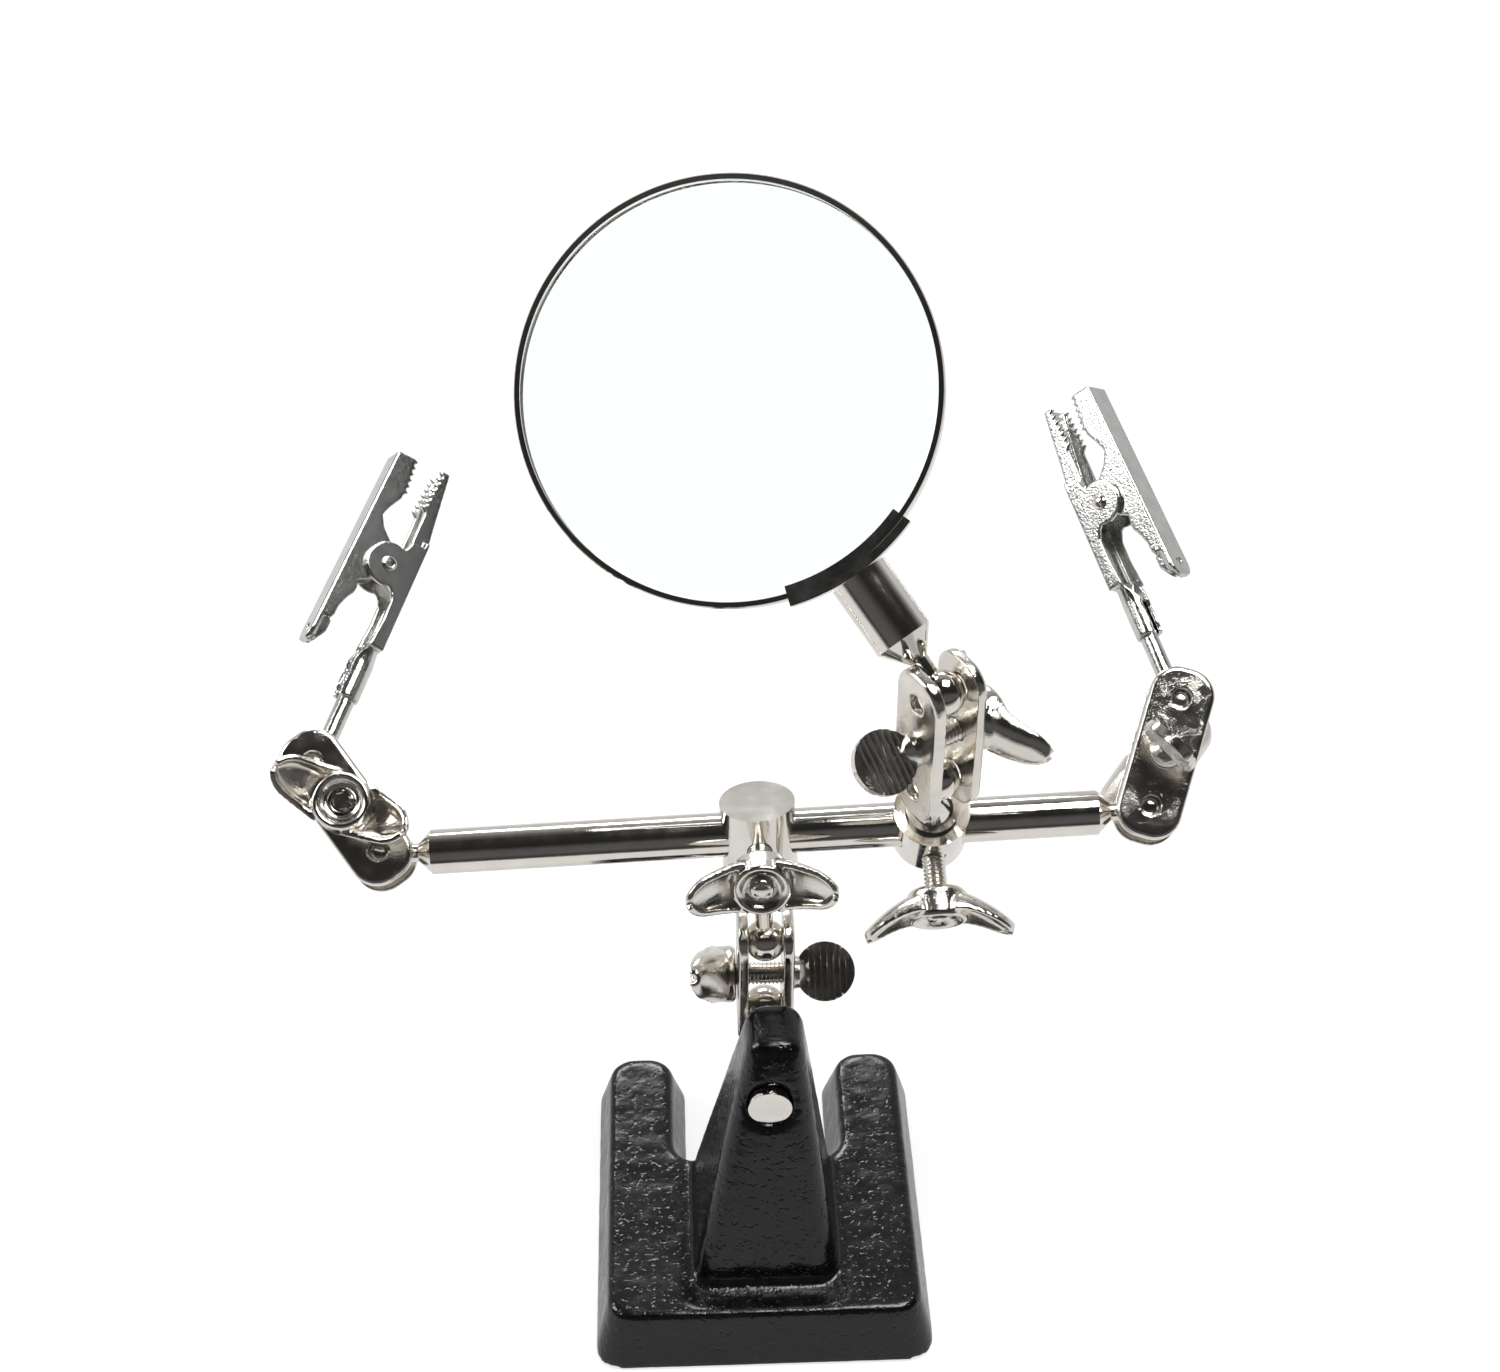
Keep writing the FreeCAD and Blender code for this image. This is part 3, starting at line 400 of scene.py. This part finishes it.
hub_radius, hub_high, cup_radius, cup_deep = 0.0050, 0.0056, 0.0036, 0.0013
wing_reach, wing_wall, wing_half, wing_sheet = 0.0121, 0.0036, 0.0029, 0.0011
wing_root, wing_foot, wing_rise, wing_bow = 0.0028, 0.0011, 0.0058, 0.0005
root_share, taper_share, tip_from, tip_long = 1.55, 0.62, 0.70, 0.305


def wing(sign):
    """One leaf: a deep trough that opens outwards, rises from the hub's foot and closes at its tip."""
    bpy.ops.object.select_all(action="DESELECT")
    bpy.ops.mesh.primitive_grid_add(x_subdivisions=24, y_subdivisions=18, size=1.0)
    leaf = bpy.context.object
    for vertex in leaf.data.vertices:
        along, across = vertex.co.x + 0.5, vertex.co.y * 2
        wide = wing_half * (root_share - taper_share * along)
        if along > tip_from:
            wide *= math.sqrt(max(0.05, 1 - ((along - tip_from) / tip_long) ** 2))
        wall = (wing_wall - 0.0024 * along) * abs(across) ** 2.4
        bottom = wing_foot + wing_rise * along ** 1.5
        out = wing_root + (wing_reach - wing_root) * along - wing_bow * abs(across) ** 2
        vertex.co = (sign * out, math.sin(across * 1.45) / math.sin(1.45) * wide, bottom + wall)
    return applied(leaf, "SOLIDIFY", thickness=wing_sheet, offset=0.0)


def winged(name, where, body, stands_for, shank=0.0):
    """The hub and both wings fused and smoothed as one casting."""
    bore = 0.0 if shank else screw_radius + 0.0002
    hub = lathe(name, [
        (bore, 0.0001), (hub_radius - 0.0006, 0.0001), (hub_radius, 0.0008),
        (hub_radius - 0.0001, 0.0022), (hub_radius - 0.0002, hub_high - 0.0006),
        (hub_radius - 0.0005, hub_high - 0.0001), (cup_radius + 0.0005, hub_high - 0.0001),
        (cup_radius, hub_high - 0.0005), (cup_radius - 0.0007, hub_high - cup_deep),
        (bore, hub_high - cup_deep)] + ([(bore, 0.0001)] if bore else []), 64)
    casting = merged(name, [hub, wing(1), wing(-1)])
    applied(casting, "REMESH", mode="VOXEL", voxel_size=0.00024)
    applied(casting, "SMOOTH", factor=0.7, iterations=5)
    if shank:
        stem = threaded(name + "_stem", -shank, 0.0004, screw_radius)
        end = threaded(name + "_stake", hub_high - cup_deep - 0.0004, hub_high - 0.0003,
                       screw_radius, depth=0.0, staked=True)
        casting = merged(name, [casting, stem, end])
    set_down(casting, where)
    hung(casting, pebbled, body, "cast_nickel", stands_for)


for side, facing, turn in (("post", 1, 40), ("lens", 1, -96), ("left", -1, 27), ("right", 1, -30)):
    place = clamp_axes(side) @ Matrix.Rotation(math.radians(turn), 4, "Z")
    place = place @ (Matrix.Rotation(math.pi, 4, "X") if facing > 0 else Matrix.Identity(4))
    place = place @ Matrix.Translation((0, 0, plates_half + 0.0001))
    winged(side + "_cast_wing_nut", place, side + "_clamp_nut", side + "_clamp_wing_nut")

bar_way = Vector(joints["crossbar_slide"]["axis"])
for block in ("post_block", "lens_block"):
    screw_joint = joints[block + "_screw_turn"]
    outward = -Vector(screw_joint["axis"]).normalized()
    turn = Matrix((bar_way, outward.cross(bar_way), outward)).transposed().to_4x4()
    place = Matrix.Translation(Vector(screw_joint["pos_m"])) @ turn @ Matrix.Translation((0, 0, 0.0119))
    winged(block + "_cast_wing_screw", place, block + "_screw", block + "_wing_screw", shank=0.0079)


# ---------------------------------------------------------------------------------------------
# The magnifier. A strip of thin brass is rolled to a hoop with a narrow turned-in lip at each
# edge, which holds the clear glass lens, and is nickel plated. A bent steel holder, plated dark,
# carries the hoop on the ferrule.
# ---------------------------------------------------------------------------------------------

dark_nickel, tree, shader, where = new_material("dark_holder_nickel")
shader.inputs["Metallic"].default_value = 1.0
haze = noise(tree, where, 320, 4.0)
tree.links.new(ramp(tree, haze, [(0.3, (0.55, 0.53, 0.50)), (0.7, (0.70, 0.68, 0.64))]),
               shader.inputs["Base Color"])
tree.links.new(ramp(tree, haze, [(0.3, 0.10), (0.75, 0.24)]), shader.inputs["Roughness"])
bumps(tree, shader, [(haze, 0.0004, 0.2)])
wear_material(dark_nickel, ["lens_holder"])

glass, tree, shader, where = new_material("clear_lens_glass")
shader.inputs["Base Color"].default_value = (0.93, 0.975, 0.985, 1)
shader.inputs["Transmission Weight"].default_value = 1.0
shader.inputs["IOR"].default_value = 1.5
smear = noise(tree, where, 60, 3.0)
tree.links.new(ramp(tree, smear, [(0.4, 0.0), (0.9, 0.02)]), shader.inputs["Roughness"])
wear_material(glass, ["magnifier_lens"])

hoop_radius, hoop_half, hoop_wall, hoop_lip = 0.0332, 0.0028, 0.0007, 0.0010
lens_box = [Vector(corner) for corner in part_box("magnifier_lens")]
lens_middle = (lens_box[0] + lens_box[1]) / 2
corners = [vertex.co for vertex in nodes["magnifier_lens"].data.vertices]
rim = [corner for corner in corners if (corner - lens_middle).length > hoop_radius - hoop_wall - 0.0006]
one = max(rim, key=lambda corner: (corner - rim[0]).length)
two = max(rim, key=lambda corner: (corner - lens_middle).cross(one - lens_middle).length)
lens_normal = (one - lens_middle).cross(two - lens_middle).normalized()
hoop = lathe("rolled_lens_hoop", [
    (hoop_radius, -hoop_half + 0.0003), (hoop_radius, hoop_half - 0.0003),
    (hoop_radius - 0.0002, hoop_half), (hoop_radius - hoop_lip, hoop_half - 0.0001),
    (hoop_radius - hoop_lip, hoop_half - 0.0005), (hoop_radius - hoop_wall, hoop_half - 0.0008),
    (hoop_radius - hoop_wall, -hoop_half + 0.0008), (hoop_radius - hoop_lip, -hoop_half + 0.0005),
    (hoop_radius - hoop_lip, -hoop_half + 0.0001), (hoop_radius - 0.0002, -hoop_half),
    (hoop_radius, -hoop_half + 0.0003)], 160)
stand = lens_normal.to_track_quat("Z", "X").to_matrix().to_4x4()
set_down(hoop, Matrix.Translation(lens_middle) @ stand)
hung(hoop, polished, "magnifier", "polished_nickel", "lens_ring")
bpy.ops.object.shade_smooth_by_angle(angle=0.5)


# ---------------------------------------------------------------------------------------------
# Alligator clips. Two jaws are stamped from 0.8 mm steel and folded to channels, one inside the
# other, with teeth cut along their edges; a hollow rivet and a torsion spring join them. The
# long jaw's tail is crimped round the ball stem, and all is plated with a fine orange peel.
# ---------------------------------------------------------------------------------------------

clip_plate, tree, shader, where = new_material("clip_nickel_plate")
shader.inputs["Metallic"].default_value = 1.0
peel = noise(tree, where, 2600, 2.0)
haze = noise(tree, where, 300, 3.0)
tree.links.new(ramp(tree, haze, [(0.3, (0.60, 0.595, 0.575)), (0.7, (0.72, 0.715, 0.695))]),
               shader.inputs["Base Color"])
tree.links.new(ramp(tree, peel, [(0.3, 0.12), (0.75, 0.26)]), shader.inputs["Roughness"])
bumps(tree, shader, [(haze, 0.00014, 0.12), (peel, 0.00010, 0.40)])
wear_material(clip_plate, ["left_clip_ball_stem", "right_clip_ball_stem"])

sheet, clip_half, jaw_half = 0.0008, 0.0035, 0.00255
pivot_along, pivot_up, clip_open = 0.0371, 0.0038, math.radians(12.5)
crimp_start, crimp_long, crimp_sheet = 0.0128, 0.0110, 0.0007
hole_radius, hole_along, hole_up, handle_slope = 0.00065, 0.0232, 0.0142, 0.24
handle_round_from, handle_round = 0.0230, 0.00272


def stamped(name, outline, near, far):
    """A flat blank of that side outline, extruded across the clip from near to far."""
    mesh = bpy.data.meshes.new(name)
    mesh.from_pydata([(x / 1000, near, z / 1000) for x, z in outline], [], [range(len(outline))])
    blank = bpy.data.objects.new(name, mesh)
    scene.collection.objects.link(blank)
    only(blank)
    bpy.ops.object.mode_set(mode="EDIT")
    bpy.ops.mesh.select_all(action="SELECT")
    bpy.ops.mesh.extrude_region_move(TRANSFORM_OT_translate={"value": (0, far - near, 0)})
    bpy.ops.mesh.select_all(action="SELECT")
    bpy.ops.mesh.normals_make_consistent(inside=False)
    bpy.ops.object.mode_set(mode="OBJECT")
    return blank


def both_sides(name, outline, outer):
    """The two side walls of a channel, one sheet thick."""
    return [stamped(name + "_near", outline, -outer, sheet - outer),
            stamped(name + "_far", outline, outer - sheet, outer)]


def teeth(first, last, count, depth):
    """A saw edge between two (along, up) points."""
    edge = []
    for step in range(count + 1):
        share = step / count
        along = first[0] + (last[0] - first[0]) * share
        up = first[1] + (last[1] - first[1]) * share
        edge += [(along, up + depth), (along + (last[0] - first[0]) / count * 0.5, up - depth)]
    return edge[:-1]


def fused(name, parts, voxel=0.00020, rounds=3):
    """Joins overlapping parts to one skin with softly rounded edges."""
    piece = merged(name, parts)
    applied(piece, "REMESH", mode="VOXEL", voxel_size=voxel)
    return applied(piece, "SMOOTH", factor=0.6, iterations=rounds)


cheek = [(37.1 + 4.0 * math.cos(math.radians(a)), 3.9 + 4.0 * math.sin(math.radians(a)))
         for a in range(-20, 216, 14)]
tail_wall = [(22.5, -1.5), (42.9, -1.5), (42.9, 1.5), (41.2, 2.1)] + cheek + [
    (33.0, 1.6), (31.4, 0.9), (28.0, 0.8), (22.5, 1.3)]
nose_wall = [(42.0, -1.5), (44.6, -1.5), (57.9, 0.1), (57.9, 1.7)] + teeth(
    (57.4, 1.7), (50.2, 2.3), 6, 0.42) + [(49.2, 1.6), (42.0, 1.6)]
lever_wall = [(57.9, 5.9), (25.4, 14.0), (25.2, 11.7), (25.7, 11.2), (27.6, 10.7), (29.4, 9.6),
              (30.6, 8.6), (31.8, 8.2), (33.2, 8.3), (34.4, 5.0), (36.0, 1.9), (38.6, 1.9),
              (41.0, 3.6), (43.6, 5.6), (45.8, 6.3), (47.6, 5.2), (49.6, 3.6)] + teeth(
    (50.4, 3.0), (57.5, 2.1), 6, 0.42)
roof = [(57.9, 5.0), (57.9, 5.95), (20.9, 15.2), (20.4, 14.6), (20.6, 14.2), (57.0, 5.1)]


def clip(side):
    """One clip, built along X from its ball, then set down on its stem."""
    grip = axes_of(side + "_clip_tilt", joints[side + "_clip_squeeze"]["pos_m"])
    ball = Vector(joints[side + "_clip_tilt"]["pos_m"])
    hinge = Vector(joints[side + "_clip_squeeze"]["pos_m"]) - ball
    across = -Vector(joints[side + "_clip_squeeze"]["axis"]).normalized()
    along = (hinge * pivot_along + across.cross(hinge) * pivot_up).normalized()
    turn = Matrix((along, across, along.cross(across))).transposed().to_4x4()
    place = Matrix.Translation(ball) @ turn

    tail = both_sides(side + "_tail", tail_wall, clip_half)
    nose = both_sides(side + "_nose", nose_wall, jaw_half)
    back = [stamped(side + "_back", [(22.5, -1.55), (44.0, -1.55), (44.0, -0.75), (22.5, -0.75)],
                    -clip_half, clip_half),
            stamped(side + "_front", [(43.0, -1.55), (44.6, -1.55), (57.9, 0.35), (57.9, 1.1),
                                      (44.4, -0.75), (43.0, -0.75)], -jaw_half, jaw_half)]
    bpy.ops.object.select_all(action="DESELECT")
    bpy.ops.mesh.primitive_grid_add(x_subdivisions=26, y_subdivisions=36, size=1.0)
    crimp = bpy.context.object
    for vertex in crimp.data.vertices:
        share, round_ = vertex.co.x + 0.5, vertex.co.y + 0.5
        wrap = min(1.0, max(0.0, (share - 0.62) / 0.38))
        ripple = 0.10 * math.sin(share * 17) + 0.06 * math.sin(share * 31 + round_ * 5)
        open_angle = math.radians(28 + 62 * wrap + 60 * ripple * (1 - wrap))
        angle = -math.pi / 2 + (round_ - 0.5) * (math.tau - 2 * open_angle)
        wide = 0.00205 + 0.0010 * wrap ** 1.5
        deep = 0.00195 - 0.0003 * wrap
        vertex.co = (crimp_start + crimp_long * share, wide * math.cos(angle),
                     0.0003 + deep * math.sin(angle) + 0.0003 * wrap)
    applied(crimp, "SOLIDIFY", thickness=crimp_sheet, offset=0.0)
    jaw = fused(side + "_stamped_fixed_jaw", tail + nose + back + [crimp])
    set_down(jaw, place)
    hung(jaw, clip_plate, side + "_clip", "clip_nickel", side + "_clip_fixed_jaw")

    lever = both_sides(side + "_lever", lever_wall, jaw_half)
    top = stamped(side + "_top", roof, -jaw_half, jaw_half)
    curl = both_sides(side + "_curl", [(20.5, 14.8), (25.6, 13.6), (25.6, 12.2), (24.6, 11.4),
                                       (22.6, 11.9), (20.6, 13.6)], jaw_half - 0.0004)
    bpy.ops.object.select_all(action="DESELECT")
    bpy.ops.mesh.primitive_cylinder_add(vertices=24, radius=hole_radius, depth=0.006,
                                        location=(hole_along, 0, hole_up),
                                        rotation=(0, handle_slope, 0))
    punch = bpy.context.object
    applied(top, "BOOLEAN", object=punch, operation="DIFFERENCE", solver="EXACT")
    bpy.data.objects.remove(punch)
    lever = fused(side + "_stamped_lever_jaw", lever + [top] + curl)
    for vertex in lever.data.vertices:
        past = handle_round_from - vertex.co.x
        if past > 0:
            vertex.co.y *= math.sqrt(max(0.06, 1 - (past / handle_round) ** 2))
    opened = Matrix.Translation((pivot_along, 0, pivot_up)) @ Matrix.Rotation(-clip_open, 4, "Y")
    opened = opened @ Matrix.Translation((-pivot_along, 0, -pivot_up))
    set_down(lever, place @ opened)
    hung(lever, clip_plate, side + "_clip_jaw", "clip_nickel", side + "_clip_moving_jaw")

    rivet = lathe(side + "_hollow_rivet", [
        (0.0004, 0.0034), (0.0006, 0.0039), (0.0009, 0.0040), (0.0012, 0.0039), (0.0014, 0.0035),
        (0.0010, 0.0034), (0.0010, -0.0034), (0.0014, -0.0035), (0.0012, -0.0039),
        (0.0007, -0.0041), (0.0, -0.0041), (0.0, 0.0032), (0.0004, 0.0034)], 32)
    set_down(rivet, place @ Matrix.Translation((pivot_along, 0, pivot_up))
             @ Matrix.Rotation(math.pi / 2, 4, "X"))
    hung(rivet, polished, side + "_clip", "bright_steel", side + "_clip_rivet")

    mesh = bpy.data.meshes.new(side + "_spring")
    ring = [math.tau * n / 8 for n in range(9)]
    mesh.from_pydata([(0.00170 + 0.00032 * math.cos(t), 0, -0.0014 + 0.00032 * math.sin(t))
                      for t in ring[:-1]], [(n, (n + 1) % 8) for n in range(8)], [])
    spring = bpy.data.objects.new(side + "_coil_spring", mesh)
    scene.collection.objects.link(spring)
    applied(spring, "SCREW", angle=math.tau, screw_offset=0.0007, iterations=4, steps=28,
            render_steps=28, axis="Z")
    set_down(spring, place @ Matrix.Translation((pivot_along, 0, pivot_up))
             @ Matrix.Rotation(math.pi / 2, 4, "X"))
    hung(spring, polished, side + "_clip", "bright_steel", side + "_clip_torsion_spring")


for side in ("left", "right"):
    clip(side)


# ---------------------------------------------------------------------------------------------
# The table and the light: a plain white sheet under and behind the object, two soft boxes and a
# top panel, and a dark room behind the camera that the polished metal shows.
# ---------------------------------------------------------------------------------------------

def seen_directly(tree, mirrored):
    """1 for rays that see the background itself or through glass, and less in a mirror."""
    path = tree.nodes.new("ShaderNodeLightPath")
    dimmed = tree.nodes.new("ShaderNodeMath")
    dimmed.operation = "MULTIPLY"
    dimmed.inputs[1].default_value = mirrored
    tree.links.new(path.outputs["Is Glossy Ray"], dimmed.inputs[0])
    total = path.outputs["Is Camera Ray"]
    for ray in (dimmed.outputs[0], path.outputs["Is Transmission Ray"]):
        add = tree.nodes.new("ShaderNodeMath")
        add.operation = "MAXIMUM"
        tree.links.new(total, add.inputs[0])
        tree.links.new(ray, add.inputs[1])
        total = add.outputs[0]
    return total


bpy.ops.object.select_all(action="DESELECT")
bpy.ops.mesh.primitive_plane_add(size=1.0, location=(0, 0, 0))
table = bpy.context.object
set_down(table, Matrix.Translation((0, 1.32, cad_box[0][2] - 0.0002)) @ Matrix.Diagonal((6, 3, 1, 1)))
table.name = "table_sheet"
near_glow, far_glow, mirrored_share, far_from, far_to = 0.76, 0.24, 0.60, 0.22, 1.00
table_white, tree, shader, where = new_material("white_table_sheet")
tree.nodes.remove(shader)
out = tree.nodes["Material Output"]
paper = tree.nodes.new("ShaderNodeBsdfDiffuse")
paper.inputs["Color"].default_value = (0.30, 0.30, 0.30, 1)
glow = tree.nodes.new("ShaderNodeEmission")
both = tree.nodes.new("ShaderNodeAddShader")
level = tree.nodes.new("ShaderNodeMath")
level.operation = "MULTIPLY"
level.inputs[1].default_value = near_glow
tree.links.new(seen_directly(tree, mirrored_share), level.inputs[0])
# the lamps fade out across the sheet, so its far part glows a little more where it is seen
away = tree.nodes.new("ShaderNodeVectorMath")
away.operation = "LENGTH"
tree.links.new(where, away.inputs[0])
faded = tree.nodes.new("ShaderNodeMapRange")
faded.inputs["From Min"].default_value, faded.inputs["From Max"].default_value = far_from, far_to
faded.inputs["To Min"].default_value, faded.inputs["To Max"].default_value = 0.0, far_glow
tree.links.new(away.outputs["Value"], faded.inputs["Value"])
raised = tree.nodes.new("ShaderNodeMath")
raised.operation = "MULTIPLY_ADD"
path = tree.nodes.new("ShaderNodeLightPath")
tree.links.new(faded.outputs["Result"], raised.inputs[0])
tree.links.new(path.outputs["Is Camera Ray"], raised.inputs[1])
tree.links.new(level.outputs[0], raised.inputs[2])
tree.links.new(raised.outputs[0], glow.inputs["Strength"])
tree.links.new(paper.outputs[0], both.inputs[0])
tree.links.new(glow.outputs[0], both.inputs[1])
tree.links.new(both.outputs[0], out.inputs["Surface"])
table.data.materials.append(table_white)

world = bpy.data.worlds.new("studio")
scene.world = world
world.use_nodes = True
tree = world.node_tree
tree.nodes.clear()
out = tree.nodes.new("ShaderNodeOutputWorld")
white = tree.nodes.new("ShaderNodeBackground")
white.inputs["Color"].default_value = (1, 1, 1, 1)
room = tree.nodes.new("ShaderNodeBackground")
direction = tree.nodes.new("ShaderNodeTexCoord")
apart = tree.nodes.new("ShaderNodeSeparateXYZ")
tree.links.new(direction.outputs["Generated"], apart.inputs[0])
toward = tree.nodes.new("ShaderNodeMath")
toward.operation = "MULTIPLY"
toward.inputs[1].default_value = -1.0
tree.links.new(apart.outputs["Y"], toward.inputs[0])
sweep = tree.nodes.new("ShaderNodeMath")
sweep.operation = "ARCTAN2"
tree.links.new(apart.outputs["Z"], sweep.inputs[0])
tree.links.new(toward.outputs[0], sweep.inputs[1])
spread = tree.nodes.new("ShaderNodeMapRange")
spread.inputs["From Min"].default_value = -math.pi
spread.inputs["From Max"].default_value = math.pi
tree.links.new(sweep.outputs[0], spread.inputs["Value"])
shade = ramp(tree, spread.outputs["Result"], [
    (0.0, 0.62), (0.40, 0.56), (0.455, 0.03), (0.50, 0.10), (0.57, 0.09), (0.62, 0.02),
    (0.75, 0.03), (0.80, 0.12), (0.87, 0.40), (0.90, 0.58), (1.0, 0.62)])
tree.links.new(shade, room.inputs["Color"])
choose = tree.nodes.new("ShaderNodeMixShader")
path = tree.nodes.new("ShaderNodeLightPath")
tree.links.new(path.outputs["Is Camera Ray"], choose.inputs["Fac"])
tree.links.new(room.outputs[0], choose.inputs[1])
tree.links.new(white.outputs[0], choose.inputs[2])
tree.links.new(choose.outputs[0], out.inputs["Surface"])

middle = Vector((0.0, 0.0, 0.07))
for name, place, size, power in [
    ("top_panel", (0.19, -0.01, 0.80), (0.36, 0.34), 5.0),
    ("left_softbox", (-0.70, 0.10, 0.55), (0.20, 0.50), 3.0),
    ("rear_softbox", (-0.10, 0.75, 0.62), (0.50, 0.16), 3.0),
]:
    lamp = bpy.data.lights.new(name, "AREA")
    lamp.shape, lamp.size, lamp.size_y, lamp.energy = "RECTANGLE", *size, power
    holder = bpy.data.objects.new(name, lamp)
    scene.collection.objects.link(holder)
    holder.location = place
    holder.rotation_euler = (middle - Vector(place)).to_track_quat("-Z", "Y").to_euler()

camera = bpy.data.cameras.new("camera")
camera.lens, camera.sensor_width, camera.sensor_fit = 56.27, 36.0, "HORIZONTAL"
camera.clip_start, camera.clip_end = 0.01, 20.0
viewer = bpy.data.objects.new("camera", camera)
scene.collection.objects.link(viewer)
viewer.matrix_world = (
    Matrix.Translation((-0.010907, -0.27607, 0.35177))
    @ Matrix.Rotation(math.radians(-1.973), 4, "Z")
    @ Matrix.Rotation(math.radians(50.888), 4, "X")
    @ Matrix.Rotation(math.radians(-0.142), 4, "Z")
)
scene.camera = viewer
scene.view_settings.view_transform = "Standard"
